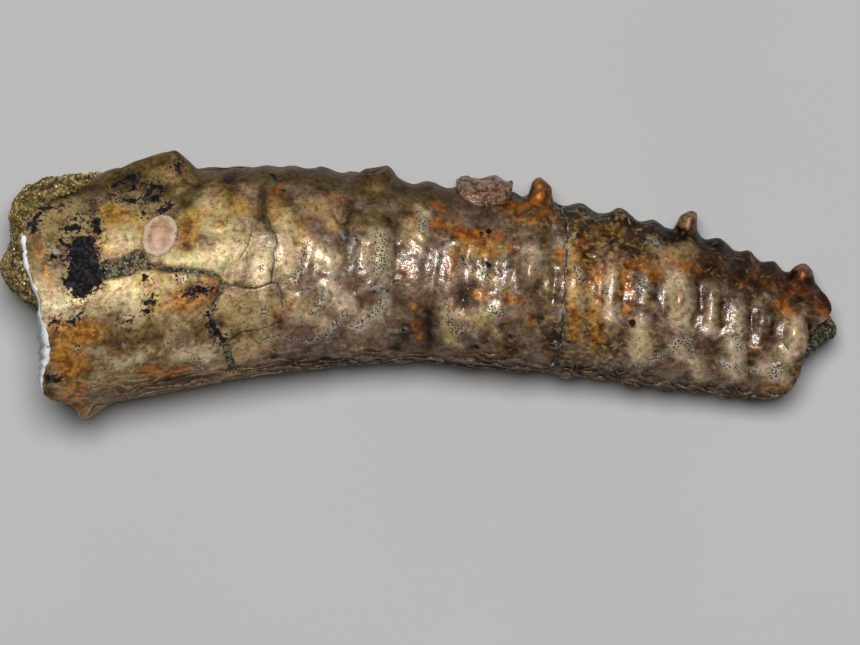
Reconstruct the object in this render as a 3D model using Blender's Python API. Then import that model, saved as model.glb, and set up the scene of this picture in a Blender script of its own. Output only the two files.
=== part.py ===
"""A stretch of fossil Protanisoceras, an ammonite that grew almost straight.

The nacreous shell is a tapering tube with ribs, a row of low knobs on each flank and a row of
spine stumps on each shoulder. It broke across once and was set back together, and sandy rock
fills it. It lies on one flank: +X runs from the wide mouth to the narrow tip, +Y to the spiny
outer side, and +Z up. Lengths are in millimetres until a point is handed to Blender.

A point of the tube is given by its place, which is where its cross-section meets the tube's
middle line, measured along X, and by its angle around the tube. The angle is 0 on the upper
flank, 90 degrees on the spiny side and 180 on the flank that it lies on. Ribs lean, so what
follows a rib is given by the place where that rib crosses the middle of the flank.
"""

import math

import bmesh
import bpy
import numpy as np
from mathutils import Vector

METRES = 0.001  # one millimetre

# Driving sizes of the tube: place, middle of the tube in Y, half its height.
STATIONS = np.array([
    (-50.0, -2.86, 12.6),
    (-35.0, -0.76, 12.3),
    (-24.0, 0.70, 11.75),
    (-13.0, 1.35, 11.1),
    (-2.0, 0.90, 10.0),
    (9.0, -0.25, 9.3),
    (20.0, -1.95, 8.65),
    (31.0, -4.05, 8.0),
    (38.0, -5.55, 7.2),
    (47.0, -7.60, 6.0),
])
WIDTH_TO_HEIGHT = 0.86
SHELL_WALL = 1.2
JOIN_GAP = 0.3  # between neighbouring pieces
FLOOR_WEAR = 0.12  # how much the flank that it lies on is worn flat

# Lean of a rib at a place: how far it moves towards the tip for each millimetre that it climbs.
RIB_LEAN = np.array([
    (-50.0, 0.44),
    (-30.0, 0.41),
    (-18.0, 0.27),
    (-5.0, 0.12),
    (12.0, -0.03),
    (47.0, -0.09),
])

# Ribs where they cross the middle of the flank: place, height, half width.
RIBS = np.array([
    (-37.5, 0.10, 1.6),
    (-33.8, 0.10, 1.6),
    (-29.8, 0.20, 1.7),
    (-26.0, 0.12, 1.5),
    (-22.6, 0.15, 1.5),
    (-19.4, 0.20, 1.4),
    (-16.3, 0.22, 1.4),
    (-13.0, 0.26, 1.35),
    (-9.3, 0.28, 1.3),
    (-5.0, 0.40, 1.6),
    (-0.4, 0.34, 1.3),
    (3.3, 0.36, 1.2),
    (6.9, 0.36, 1.1),
    (9.3, 0.30, 0.8),
    (12.1, 0.45, 1.3),
    (17.1, 0.42, 1.2),
    (21.1, 0.42, 1.2),
    (24.7, 0.40, 1.1),
    (28.5, 0.48, 1.25),
    (32.0, 0.38, 1.0),
    (34.9, 0.36, 0.95),
    (37.7, 0.36, 0.95),
    (41.3, 0.45, 1.2),
])

SMOOTH_SIDE_LOSS = 0.25  # of a rib's height from spiny side to flank, and again to smooth side

# Stumps that every fourth rib or so carries on both sides: place of the rib, angle, height, radius.
STUMPS = (
    (-29.6, 74.0, 2.5, 2.9),
    (-33.0, 78.0, 1.1, 4.4),
    (-5.1, 74.0, 1.6, 2.5),
    (12.0, 74.0, 2.7, 2.2),
    (28.2, 74.0, 3.0, 1.7),
    (41.2, 74.0, 1.2, 1.8),
    (-29.9, 26.0, 0.5, 2.0),
    (-4.4, 9.0, 0.7, 2.3),
    (12.1, 9.0, 0.9, 2.2),
    (28.5, 9.0, 0.75, 1.8),
    (41.3, 7.0, 0.8, 1.8),
)
LIP_SWELLING = (-33.4, 272.0, 1.4, 3.6)

# Broken edges: angle, and place along the rib line.
MOUTH_RIM = np.array([
    (0, -41.8),
    (15, -43.7),
    (36, -45.5),
    (52, -45.0),
    (68, -41.1),
    (90, -39.2),
    (120, -39.2),
    (150, -40.3),
    (180, -39.8),
    (210, -38.1),
    (240, -35.8),
    (265, -34.1),
    (278, -34.0),
    (300, -37.6),
    (340, -39.6),
])
MIDDLE_BREAK = np.array([
    (0, 15.95),
    (45, 15.8),
    (90, 14.6),
    (135, 14.8),
    (180, 15.2),
    (225, 14.8),
    (270, 14.1),
    (310, 16.0),
])
TIP_RIM = np.array([
    (0, 43.6),
    (20, 45.2),
    (35, 45.3),
    (60, 43.7),
    (90, 42.4),
    (120, 42.9),
    (150, 43.9),
    (180, 43.4),
    (210, 42.3),
    (240, 40.5),
    (270, 38.6),
    (295, 40.4),
    (320, 42.0),
    (340, 42.5),
])
FRACTURE_SLANT = 0.4  # how far the inner edge of a fracture lies behind the outer one

# The rock's face at the mouth: height above the middle of the tube, and place.
MOUTH_FACE = np.array([
    (-13.0, -39.6),
    (-4.0, -40.2),
    (-1.5, -41.2),
    (0.6, -43.6),
    (4.0, -45.2),
    (6.7, -44.0),
    (12.5, -42.6),
])
HOLLOW_DEPTH = 1.6  # how far the rock lies behind the rim on the smooth side
FACE_ROUNDING = 2.6  # how far both faces fall back towards the flanks
LUMP_SIDES = (-0.05, 0.25)  # sines of the angles between which hollow turns to lump
LUMP_OVERHANG = 0.9  # how far the lump stands above the outside of the shell
OVERHANG_FROM, OVERHANG_TO, OVERHANG_BLEND = 58.0, 138.0, 16.0
LUMP_SIDE_SHARE = 0.6  # share of the way from rim to middle that the lump's side takes
TIP_ROCK_BACK = 0.6  # how far the rock's edge lies behind the broken tip of the shell

# The rock's face at the tip: height above the middle of the tube, and place.
TIP_FACE = np.array([
    (-7.0, 38.2),
    (-3.5, 41.8),
    (0.0, 44.4),
    (2.6, 45.2),
    (4.6, 43.6),
    (7.0, 41.4),
])

# The flake of another shell stuck on the spiny side.
FLAKE_PLACE, FLAKE_LENGTH = 5.7, 5.9
FLAKE_MIDDLE, FLAKE_HALF_TURN = 82.0, 27.0
FLAKE_EDGE, FLAKE_HEIGHT = 0.25, 1.2

CORNERS = 32  # of each ring around the tube
CROWDING = 0.33  # how much closer the corners stand on the spiny side
SLOPE_FEET = (0, 0.3, 0.7)  # rings between two rib crests, as shares of the way
LUMP_MIDDLE_RINGS = (0.2, 0.42)  # fractions of the way out from the middle
LUMP_SIDE_RINGS = (0.7, 0.58, 0.46, 0.34, 0.22, 0.1)  # shares of the way in from the rim
TIP_FACE_RINGS = (0.85, 0.6, 0.35, 0.15)
FLAKE_STEPS = 9
FLAKE_ENDS = 0.94  # how near to its pointed ends the flake's first and last ring stand

# Finishes: colour and roughness.
NACRE = ((0.46, 0.39, 0.33), 0.25)
MOUTH_ROCK = ((0.22, 0.17, 0.08), 0.8)
TIP_ROCK = ((0.17, 0.16, 0.09), 0.8)
FLAKE = ((0.24, 0.16, 0.13), 0.45)


def smooth_step(value):
    t = np.clip(value, 0, 1)
    return t * t * (3 - 2 * t)


def through(table, place, column=1):
    """A smooth curve through a table's rows, read at an array of places."""
    xs, ys = table[:, 0], table[:, column]
    slopes = np.gradient(ys, xs)
    low = np.clip(np.searchsorted(xs, place) - 1, 0, len(xs) - 2)
    span = xs[low + 1] - xs[low]
    t = np.clip((place - xs[low]) / span, 0, 1)
    return (
        (1 + 2 * t) * (1 - t) ** 2 * ys[low]
        + t * (1 - t) ** 2 * span * slopes[low]
        + t**2 * (3 - 2 * t) * ys[low + 1]
        + t**2 * (t - 1) * span * slopes[low + 1]
    )


def around_tube(table, turn):
    """The same for a table of angles, which closes on itself."""
    before, after = table[-2:] - (360, 0), table[:2] + (360, 0)
    return through(np.concatenate([before, table, after]), np.degrees(turn) % 360)


def ring_angles():
    """Angles of a ring's corners, closest together on the spiny side."""
    even = np.linspace(0, 2 * np.pi, CORNERS, endpoint=False)
    return even + CROWDING * np.cos(even)


def half_height(place):
    return through(STATIONS, place, 2)


def on_rib_line(crossing, turn):
    """Place at an angle on the rib line that crosses the middle of the flank at crossing."""
    return crossing + through(RIB_LEAN, crossing) * np.sin(turn) * half_height(crossing)


def rib_crossing(place, turn):
    """Where the rib line through a point crosses the middle of the flank."""
    crossing = place
    for _ in range(5):
        crossing = place - through(RIB_LEAN, crossing) * np.sin(turn) * half_height(crossing)
    return crossing


def stump(along, turned, tall, height, radius):
    """A rounded stump, round in the surface."""
    around = ((turned + np.pi) % (2 * np.pi) - np.pi) * tall
    return height * (1 - np.clip((along**2 + around**2) / radius**2, 0, 1)) ** 1.5


def relief(place, turn):
    """Height of ribs, stumps and lip above the plain tube."""
    tall = half_height(place)
    crossing = rib_crossing(place, turn)
    strength = 1 - SMOOTH_SIDE_LOSS * (1 - np.sin(turn))
    height = 0
    for crest, rise, half_width in RIBS:
        height = height + rise * strength * np.exp(-(((crossing - crest) / half_width) ** 2))
    for crest, degrees, rise, radius in STUMPS:
        for mirrored in (degrees, 180 - degrees):
            height = height + stump(crossing - crest, turn - math.radians(mirrored), tall, rise, radius)
    crest, degrees, rise, radius = LIP_SWELLING
    return height + stump(crossing - crest, turn - math.radians(degrees), tall, rise, radius)


def tube_points(place, turn, above=0.0, fraction=1.0):
    """Points of the plain tube, moved out by above and drawn towards its middle by fraction."""
    tall = half_height(place)
    wide = tall * WIDTH_TO_HEIGHT
    step = 0.1
    slope = (through(STATIONS, place + step) - through(STATIONS, place - step)) / (2 * step)
    length = np.hypot(1, slope)
    out_y, out_z = np.sin(turn) / tall, np.cos(turn) / wide
    out = np.hypot(out_y, out_z)
    across = fraction * (tall * np.sin(turn) + above * out_y / out)
    up = fraction * (wide * np.cos(turn) + above * out_z / out)
    x = place - slope / length * across
    y = through(STATIONS, place) + across / length
    z = np.maximum(wide - FLOOR_WEAR + up, 0)
    return np.stack([x, y, z], axis=-1)


def ribbed_points(place, turn, above=0.0):
    return tube_points(place, turn, relief(place, turn) + above)


def surface(name, finish):
    colour, roughness = finish
    material = bpy.data.materials.new(name)
    material.use_nodes = True
    shader = material.node_tree.nodes["Principled BSDF"]
    shader.inputs["Base Color"].default_value = (*colour, 1)
    shader.inputs["Roughness"].default_value = roughness
    return material


def add_solid(name, rings, capped, finish):
    """A closed solid skinned over rings of points, given from the mouth end on.

    A capped solid has a fan over its first and last ring. Otherwise the last ring joins the first.
    """
    bm = bmesh.new()
    loops = [[bm.verts.new(Vector(point) * METRES) for point in ring] for ring in rings]
    following = loops[1:] if capped else loops[1:] + loops[:1]
    for loop, next_loop in zip(loops, following):
        for i in range(len(loop)):
            bm.faces.new((loop[i - 1], next_loop[i - 1], next_loop[i], loop[i]))
    if capped:
        for loop in (loops[0], loops[-1][::-1]):
            middle = bm.verts.new(sum((corner.co for corner in loop), Vector()) / len(loop))
            for i in range(len(loop)):
                bm.faces.new((loop[i - 1], loop[i], middle))
    bmesh.ops.triangulate(bm, faces=bm.faces)
    mesh = bpy.data.meshes.new(name)
    bm.to_mesh(mesh)
    bm.free()
    mesh.shade_smooth()
    mesh.set_sharp_from_angle(angle=math.radians(50))
    mesh.materials.append(surface(name, finish))
    obj = bpy.data.objects.new(name, mesh)
    bpy.context.scene.collection.objects.link(obj)


def rib_stations(first, last):
    """Ring places between two ribs: each crest, and the foot of the slope on both its sides."""
    crests = [crest for crest in RIBS[:, 0] if first <= crest <= last]
    places = []
    for crest, next_crest in zip(crests, crests[1:]):
        places += [crest + (next_crest - crest) * part for part in SLOPE_FEET]
    return places + [crests[-1]]


def add_shell_tube(name, left, right, first, last, end_rings, inner_rings):
    """A length of shell between two broken edges, ribbed outside and plain inside.

    Rings follow the ribs from first to last. Beyond those, end_rings run out to each edge.
    """
    turn = ring_angles()
    between = [np.full(CORNERS, station) for station in rib_stations(first, last)]
    shares = np.linspace(0, 1, end_rings, endpoint=False)
    crossings = [left + (first - left) * share for share in shares]
    crossings += between
    crossings += [right + (last - right) * share for share in shares[::-1]]
    outside = [ribbed_points(on_rib_line(crossing, turn), turn) for crossing in crossings]
    inner_left, inner_right = left - FRACTURE_SLANT, right - FRACTURE_SLANT
    inside = [
        tube_points(on_rib_line(inner_right + (inner_left - inner_right) * share, turn), turn, -SHELL_WALL)
        for share in np.linspace(0, 1, inner_rings)
    ]
    add_solid(name, outside + inside, False, NACRE)


def rock_ring(place, turn, fraction=1.0, above=0.0):
    """A ring of rock, just inside the shell's inner wall."""
    return tube_points(place, turn, above - SHELL_WALL - JOIN_GAP, fraction)


def on_face(table, rim, turn, fraction, rounding):
    """Places on a rock face at a fraction of the way out from its middle."""
    face = through(table, fraction * np.sin(turn) * half_height(rim))
    return face + rounding * (fraction * np.cos(turn)) ** 2


def add_wide_rock(name, left_rim, right, side_rings):
    """Rock of the wide length: a hollow behind the rim on the smooth side, a lump on the spiny side."""
    turn = ring_angles()
    degrees = np.degrees(turn)
    low, high = LUMP_SIDES
    lump = smooth_step((np.sin(turn) - low) / (high - low))
    overhang = smooth_step((degrees - OVERHANG_FROM) / OVERHANG_BLEND)
    overhang = overhang * smooth_step((OVERHANG_TO - degrees) / OVERHANG_BLEND)
    rise = overhang * (SHELL_WALL + JOIN_GAP + LUMP_OVERHANG)
    rim = on_rib_line(left_rim, turn)
    start = (rim - FRACTURE_SLANT - JOIN_GAP) * lump + (rim + HOLLOW_DEPTH) * (1 - lump)
    rings = []
    for fraction in LUMP_MIDDLE_RINGS:
        face = on_face(MOUTH_FACE, rim, turn, fraction, FACE_ROUNDING * lump)
        rings.append(rock_ring(face, turn, fraction))
    for share in LUMP_SIDE_RINGS:
        fraction = (1 - share) * (1 - lump) + math.cos(share * math.pi / 2) ** 0.5 * lump
        reach = math.sin(min(share / LUMP_SIDE_SHARE, 1) * math.pi / 2)
        face = on_face(MOUTH_FACE, rim, turn, fraction, FACE_ROUNDING * lump)
        rings.append(rock_ring(start + (face - start) * reach, turn, fraction, rise * (1 - share)))
    along = on_rib_line(right, turn)
    shares = np.linspace(0, 1, side_rings)
    rings += [rock_ring(start + (along - start) * share, turn) for share in shares]
    add_solid(name, rings, True, MOUTH_ROCK)


def add_narrow_rock(name, left, right_rim, side_rings):
    """Rock of the narrow length, filling the tip to a slanting face."""
    turn = ring_angles()
    near, far = on_rib_line(left, turn), on_rib_line(right_rim, turn) - TIP_ROCK_BACK
    rings = [rock_ring(near + (far - near) * share, turn) for share in np.linspace(0, 1, side_rings)]
    for fraction in TIP_FACE_RINGS:
        face = on_face(TIP_FACE, far, turn, fraction, -FACE_ROUNDING)
        rings.append(rock_ring(face, turn, fraction))
    add_solid(name, rings, True, TIP_ROCK)


def add_flake(name):
    """A lens-shaped flake of another shell, bedded on the spiny side."""
    across = np.linspace(-1, 1, FLAKE_STEPS)
    rings = []
    for share in np.linspace(-FLAKE_ENDS, FLAKE_ENDS, FLAKE_STEPS):
        narrowing = math.sqrt(1 - share * share)
        turn = np.radians(FLAKE_MIDDLE + across * narrowing * FLAKE_HALF_TURN)
        place = np.full(len(across), FLAKE_PLACE + share * FLAKE_LENGTH / 2)
        dome = FLAKE_EDGE + (FLAKE_HEIGHT - FLAKE_EDGE) * np.sqrt(1 - across**2) * narrowing**0.5
        top = ribbed_points(place, turn, JOIN_GAP + dome)
        under = ribbed_points(place, turn, JOIN_GAP)
        rings.append(np.concatenate([top, under[::-1]]))
    add_solid(name, rings, True, FLAKE)


def build():
    for obj in list(bpy.data.objects):
        bpy.data.objects.remove(obj)
    turn = ring_angles()
    mouth, middle, tip = (around_tube(edge, turn) for edge in (MOUTH_RIM, MIDDLE_BREAK, TIP_RIM))
    before, after = middle - JOIN_GAP / 2, middle + JOIN_GAP / 2
    add_shell_tube("wide_shell", mouth, before, first=-29.8, last=12.1, end_rings=5, inner_rings=10)
    add_shell_tube("narrow_shell", after, tip, first=17.1, last=37.7, end_rings=3, inner_rings=6)
    add_wide_rock("wide_rock", mouth, before, side_rings=12)
    add_narrow_rock("narrow_rock", after, tip, side_rings=8)
    add_flake("stuck_shell_flake")


build()
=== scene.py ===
import itertools
import math

import bpy
import numpy as np
from mathutils import Matrix, Vector


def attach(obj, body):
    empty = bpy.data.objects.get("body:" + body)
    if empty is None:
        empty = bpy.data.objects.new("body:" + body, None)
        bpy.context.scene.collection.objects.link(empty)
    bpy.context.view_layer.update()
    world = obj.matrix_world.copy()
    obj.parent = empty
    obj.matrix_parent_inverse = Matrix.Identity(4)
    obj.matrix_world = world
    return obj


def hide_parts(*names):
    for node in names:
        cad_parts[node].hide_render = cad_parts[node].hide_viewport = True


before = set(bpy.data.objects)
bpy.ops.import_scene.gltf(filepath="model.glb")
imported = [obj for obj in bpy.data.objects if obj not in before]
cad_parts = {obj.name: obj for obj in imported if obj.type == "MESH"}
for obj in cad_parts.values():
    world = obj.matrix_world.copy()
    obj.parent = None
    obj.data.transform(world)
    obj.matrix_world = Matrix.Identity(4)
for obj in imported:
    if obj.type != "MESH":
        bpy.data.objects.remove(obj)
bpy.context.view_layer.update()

# ---------------------------------------------------------------------------------------------
# WIDE SHELL. The wide length of the living animal's tube: thin glossy nacre with a thin prismatic
# skin, ribbed across, with knobs and spine stumps. It grew as one with its ribs, was crushed and
# cracked in the ground, stained by iron and tar, and is broken off at the mouth and at the repair.

# Lengths are millimetres. A point of the tube has a place, measured along X on its middle line,
# and a turn around it: 0 on the upper flank, 90 degrees on the spiny side.
METRES = 0.001

STATIONS = np.array([  # place, middle of the tube in Y, half its height
    (-50.0, -2.86, 12.6), (-35.0, -0.76, 12.3), (-24.0, 0.75, 11.75), (-13.0, 1.55, 10.95),
    (-2.0, 1.15, 9.8), (9.0, 0.0, 9.5), (20.0, -1.45, 8.9), (31.0, -3.75, 8.2),
    (38.0, -5.55, 7.2), (47.0, -7.60, 6.0),
])
WIDTH_TO_HEIGHT = 0.86
SHELL_WALL = 1.2
FLOOR_WEAR = 0.12
RIB_LEAN = np.array([(-50.0, 0.44), (-30.0, 0.41), (-18.0, 0.27), (-5.0, 0.12), (12.0, -0.03), (47.0, -0.09)])
RIBS = (  # place where it crosses the middle of the flank, height, half width
    (-37.5, 0.10, 1.6), (-33.8, 0.10, 1.6), (-29.8, 0.20, 1.7), (-26.0, 0.12, 1.5), (-22.6, 0.15, 1.5),
    (-19.4, 0.20, 1.4), (-16.3, 0.22, 1.4), (-13.0, 0.26, 1.35), (-9.3, 0.28, 1.3), (-5.0, 0.40, 1.6),
    (-0.4, 0.34, 1.3), (3.3, 0.36, 1.2), (6.9, 0.36, 1.1), (9.3, 0.30, 0.8), (12.1, 0.45, 1.3),
    (17.1, 0.42, 1.2), (21.1, 0.42, 1.2), (24.7, 0.40, 1.1), (28.5, 0.48, 1.25), (32.0, 0.38, 1.0),
    (34.9, 0.36, 0.95), (37.7, 0.36, 0.95), (41.3, 0.45, 1.2),
)
SMOOTH_SIDE_LOSS, NARROW_LENGTH_REGAIN, SPINY_SIDE_GAIN = 0.25, 0.2, 0.8  # of the ribs' height
STUMPS = (  # place of the rib, angle, height, reach to the left, right and around, flatness of the top
    (-30.1, 74.0, 2.1, 9.5, 3.1, 3.8, 1.05), (-30.4, 77.0, 0.3, 3.6, 1.3, 2.2, 1.3),
    (-36.2, 80.0, 0.5, 4.6, 6.0, 4.4, 1.3), (-6.6, 74.0, 1.2, 2.7, 3.0, 3.6, 1.7),
    (12.4, 74.0, 0.9, 2.4, 3.2, 3.2, 1.1), (12.4, 76.0, 1.25, 1.35, 1.6, 1.7, 4.0),
    (21.8, 76.0, 0.5, 2.4, 2.2, 2.2, 1.4), (28.3, 74.0, 0.8, 2.5, 1.9, 2.6, 1.1),
    (28.1, 75.0, 1.3, 1.25, 1.1, 1.1, 3.4), (31.3, 78.0, 0.3, 1.2, 1.2, 2.0, 1.3),
    (41.2, 74.0, 0.9, 1.8, 1.7, 1.7, 2.2), (-29.9, 26.0, 0.4, 2.0, 2.0, 2.0, 1.0),
    (-4.4, 9.0, 0.7, 1.7, 1.7, 2.8, 1.2), (12.1, 9.0, 0.8, 1.7, 1.7, 2.6, 1.2),
    (28.5, 9.0, 0.75, 1.5, 1.5, 2.2, 1.2), (41.3, 7.0, 0.7, 1.5, 1.5, 2.4, 1.2),
)
LIP_SWELLING = (-33.4, 272.0, 1.4, 3.6, 3.6, 3.6, 1.0)
MOUTH_RIM = np.array([  # angle, place along the rib line
    (0, -41.8), (15, -43.7), (36, -45.5), (52, -45.0), (68, -41.1), (90, -39.2), (120, -39.2),
    (150, -40.3), (180, -39.8), (210, -38.1), (240, -35.8), (265, -34.1), (278, -34.0),
    (300, -37.6), (340, -39.6),
])
MIDDLE_BREAK = np.array([
    (0, 15.95), (45, 15.8), (90, 14.6), (135, 14.8), (180, 15.2), (225, 14.8), (270, 14.1), (310, 16.0),
])
HALF_GAP = 0.05  # half of the gap at the break, which the glue bead fills
FRACTURE_SLANT = 0.4  # how much shorter the wall is inside than outside

# Marks that the photo shows, each a stroke through points (x, y, half width) of the upper flank.
# First the broad tones of the ground.
TAN = (
    ((-42, 7.6, 1.2), (-38, 8, 1.5), (-36.4, 6, .9)), ((-41, 5.8, 1), (-38.6, 5.6, 1)), ((-20.5, -2.5, 1.3),
    (-18.5, -3, 1.6), (-16.5, -2.5, 1.4)), ((-19.5, -7.5, 1.2), (-17, -6.5, 1)), ((-28, 12.5, .8),
    (-26, 13.6, .8)), ((-12, 8.5, 1), (-9.5, 7, .8)), ((-13, -2, 1), (-12, -3.4, .8)), ((-1, 6.6, .9),
    (.2, 4.6, .7)), ((26.5, 2.6, .8), (29, 3.4, .9)), ((4, -5.4, 1), (6.5, -4, .8)),
)
YELLOW = (
    ((-34, 7.8, 1.2), (-33.4, 5.4, 1.5), (-33.8, 4, .7)), ((-31.2, 7.2, .9), (-30.8, 4.8, .7)),
    ((-33.4, -.4, .8), (-31, -.6, 1.2), (-28.5, .2, 1)), ((-29, -2, 1.2), (-26.5, -1.6, 1)),
    ((-24.6, 6.8, 1.4), (-22.4, 7.6, 1.2), (-20.8, 5.2, 1)), ((-26.4, 2.6, .7), (-25.2, 4.8, .8)),
    ((-21, 9.4, 1), (-19.6, 8, 1)), ((-16, 8.6, 1), (-14.6, 7, 1), (-13.2, 5, .8)), ((-11.4, 8.4, .7),
    (-10.2, 6.6, .7), (-8.9, 6, .5)), ((4.4, 3.4, .8), (7, 3.8, 1), (9, 3.6, .7)), ((5.8, 1.6, .5),
    (7.8, .6, .5)), ((16.8, 3.6, .7), (17.2, 1.4, .6), (17, -1, .6)), ((20, 5.6, .8), (22.6, 5, .8)),
    ((19, -.6, .7), (19.4, -2.6, .7)), ((25.6, 1.8, .6), (28.6, 2.4, .7)),
)
PALE = (
    ((-41.6, -.6, .9), (-39.6, -2.2, 1), (-36.8, -2.6, .9), (-34.6, -1.8, .9)), ((-33.6, -1.6, 1.2),
    (-31.4, -2.4, 1.3)), ((-32.2, 5, .9), (-31.2, 4.2, .6)), ((-27.4, 2.9, .5), (-24.6, 3, 1),
    (-22.6, 2.8, 1.4), (-20.4, 3.8, 1.2)), ((-23, 6, .9), (-20.4, 6.2, .8)), ((-18, 4.6, 1.1),
    (-16.8, 2.6, 1.1), (-17.4, .8, .9)), ((-14.6, 4.6, .8), (-13.9, 2.4, .9), (-14.2, 1.2, .6)),
    ((-11, 3.2, .6), (-9.6, 2.4, .6)), ((-27.4, -1.2, .7), (-29, .2, .6)),
)
OLIVE = (
    ((-42.2, 3.6, 1), (-41.4, 1, .9), (-40, .4, .7)), ((-39.6, 3.4, .8), (-38.8, 1.6, .6)),
    ((-40.8, 9.4, .8), (-38, 9.9, .9), (-36, 8.4, .7), (-35.6, 6.6, .4)), ((-35, 10.4, 1), (-31, 10.9, 1.2),
    (-28, 10.2, 1), (-26, 9, 1)), ((-33, 12.2, .8), (-29, 13, .8)), ((-24, 11.4, 1.2), (-20, 11.6, 1.2),
    (-16, 11.6, 1.2), (-10, 11, 1.2)), ((-20.6, 10, .5), (-20.4, 8.6, .4)), ((-7, 9.6, 1.3), (-2, 9.2, 1.2),
    (2, 8.8, .9)), ((-8.4, 6, .7), (-5.4, 7.2, .8), (-3, 7.4, .7)), ((17.6, 6.2, .9), (22, 6.2, .9),
    (26, 4.6, 1)), ((31, 3.4, .8), (34, 2.2, .8)), ((19.8, -2.4, .6), (19.6, -6.4, .8)), ((14.2, 5, .5),
    (14.6, 2, .5), (14.4, -2, .5)), ((43.4, -5.4, .5), (42.8, -7.4, .5)),
)
AMBER = (
    ((-40, -4.6, .8), (-38, -5.4, 1.2), (-36, -5.6, 1.1), (-34.6, -4.6, .7)), ((-39.6, -7.6, 1.3),
    (-37.6, -8.8, 1.2), (-38.6, -10.4, 1)), ((-39.2, -12.4, 1), (-38, -13.4, .9), (-37, -11.4, .8)),
    ((-25.8, 5.6, .8), (-25.3, 4.2, .6)), ((-26.6, -1.4, .9), (-24.4, -1.8, .8), (-23, -1.4, .7)),
    ((-30, -9.4, .8), (-27, -9.6, .8), (-24.6, -8.8, .6)), ((10.2, 8, .9), (13, 8.2, 1), (14.6, 6.8, .8)),
    ((5, 5, .9), (8, 4.8, .7)), ((18.2, 3.6, .7), (19.8, 1, .8), (19.8, -1, .7)), ((22.8, 1, .8),
    (22.8, -1.6, .7)), ((24.8, 1.6, .7), (26.4, .8, .6)), ((40.6, 0, .9), (42.8, -.8, 1), (44.2, -2.6, .7)),
    ((40.2, -2.6, .8), (41, -3.4, .6)), ((36.4, 2.2, .6), (37, .6, .5)),
)
SHADE = (
    ((27, 5.6, 1), (31, 4.2, 1.2), (35, 2.6, 1.1), (38.5, 1.4, .9)), ((29.6, 6.6, .6),), ((31.2, 1, .9),
    (34.4, .4, .9), (36.8, -.4, .7)), ((39.8, .2, .9), (42, .4, .9), (44, -1, .8), (45, -2.6, .6)),
    ((-33.6, 12.2, 1), (-29.6, 13.2, 1.2), (-25.2, 13, 1.2), (-22, 12.3, .6)), ((-42.4, 7.6, .4),
    (-41, 9, .6), (-38.4, 9.8, .6), (-36, 10.4, .6)), ((-14, -8.8, .9), (-9, -8.6, .9), (-3, -8.6, .9),
    (3, -8.8, .8), (9, -9.2, .8)), ((15.4, -6, .7), (15.6, -8.8, 1), (18, -9.6, .8), (22, -9.8, .7)),
    ((10.2, 9, .8), (13.4, 9.8, .8), (15, 8.2, .8)), ((16.8, 7.6, .8), (20.6, 7.2, .8), (24.6, 6.4, .8)),
    ((-8, 4.6, .35), (-8.2, 7.6, .5)), ((-2.6, 6.8, .5), (-2.6, 3.8, .35)), ((-1.6, -4.6, .5),
    (-2, -7, .8)), ((1.2, -3.6, .4), (1.2, -7, .6)), ((5.2, -.4, .6), (5, -2.4, .6)), ((5.8, -7.2, .8),),
    ((10, -6.6, 1.2),), ((22.4, 1, .5), (22.4, -2, .5)), ((26.2, 3.4, .6), (26, -1.4, .5)),
    ((18.6, 3.6, .35), (18.5, 0, .35)), ((24, 3.6, .5), (21.6, 4.6, .6)), ((33.4, -1.6, .5),
    (33.4, -5, .5)), ((36.4, -1.6, .4), (36.5, -5, .4)), ((38.9, -3.4, .4), (38.7, -7, .5)),
    ((31.2, -.6, .4), (31, -4.2, .4)), ((44.2, -6, .8), (43.2, -8.2, .5)), ((42.8, -4.2, .25),
    (43.2, -6.4, .3)), ((-36, 8.6, .5), (-35.5, 5.6, .25)), ((-26, 8.4, .5), (-24, 10.4, .8)),
    ((-20.5, 11.2, .5), (-20.8, 9, .35)), ((-17.2, 9.6, .5), (-17.2, 7.4, .4)), ((-39.2, -13.6, .5),
    (-41, -10.8, .5)), ((-30, -11.4, .6), (-25, -10.4, .5)), ((-25.6, 6.6, .5), (-25.5, 4.6, .4)),
    ((-34, -6.6, .4), (-29, -6.2, .5)), ((4.8, 3, .35), (6.8, 1.6, .4), (8.8, 1.2, .3)), ((40.8, -2.4, .6),
    (43, -2, .6)),
)
# Pale shell and painted light: knobs, bulges and rib crests painted lighter where they face the light, some
# of them as painted highlights.
PALE_AND_PAINTED_LIGHT = (
    ((-4.3, 4.6, 1.2), (-4.2, 2, 1.3)), ((28, .8, .8), (28.8, -2.4, 1.2), (28.9, -4.6, .6)),
    ((41.4, -4.9, .8), (41.6, -6.6, .9), (40.4, -8.4, .6)), ((-9.8, -.4, .8), (-8, -2.6, .9)),
    ((-10.8, 2.8, .7), (-9.6, 1.8, .6)), ((12.4, 3.4, .5), (12.4, 1.2, .5)), ((24.4, -4.6, .7),
    (24.2, -7.8, .8)), ((-6.6, -4.6, .6), (-4, -2.6, .6)), ((3.4, -3.6, .6), (6.6, -3.8, .7),
    (8.4, -2.8, .6)), ((28.4, -6.8, .6), (30.6, -9.6, .6)), ((34.6, -6.6, .8), (34.6, -9.8, .6)),
    ((38.2, -9.4, .8), (39.6, -10.2, .6)), ((21.2, .8, .5), (21, -3.4, .7)), ((-.8, 5.2, .5),
    (.3, 7.2, .5)), ((-13.4, -3.2, .8), (-10.6, -4.4, .6)), ((-23.4, -8, .8), (-26.4, -7.8, .7)),
    ((-32.6, -8.8, .5), (-30.8, -8.2, .4)), ((-37.6, -3.4, .6), (-40.6, -2.6, .6)), ((32.2, -3, .3),
    (32, -5, .3)), ((35.2, -3.4, .3), (35.1, -5.4, .3)),
)
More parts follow.
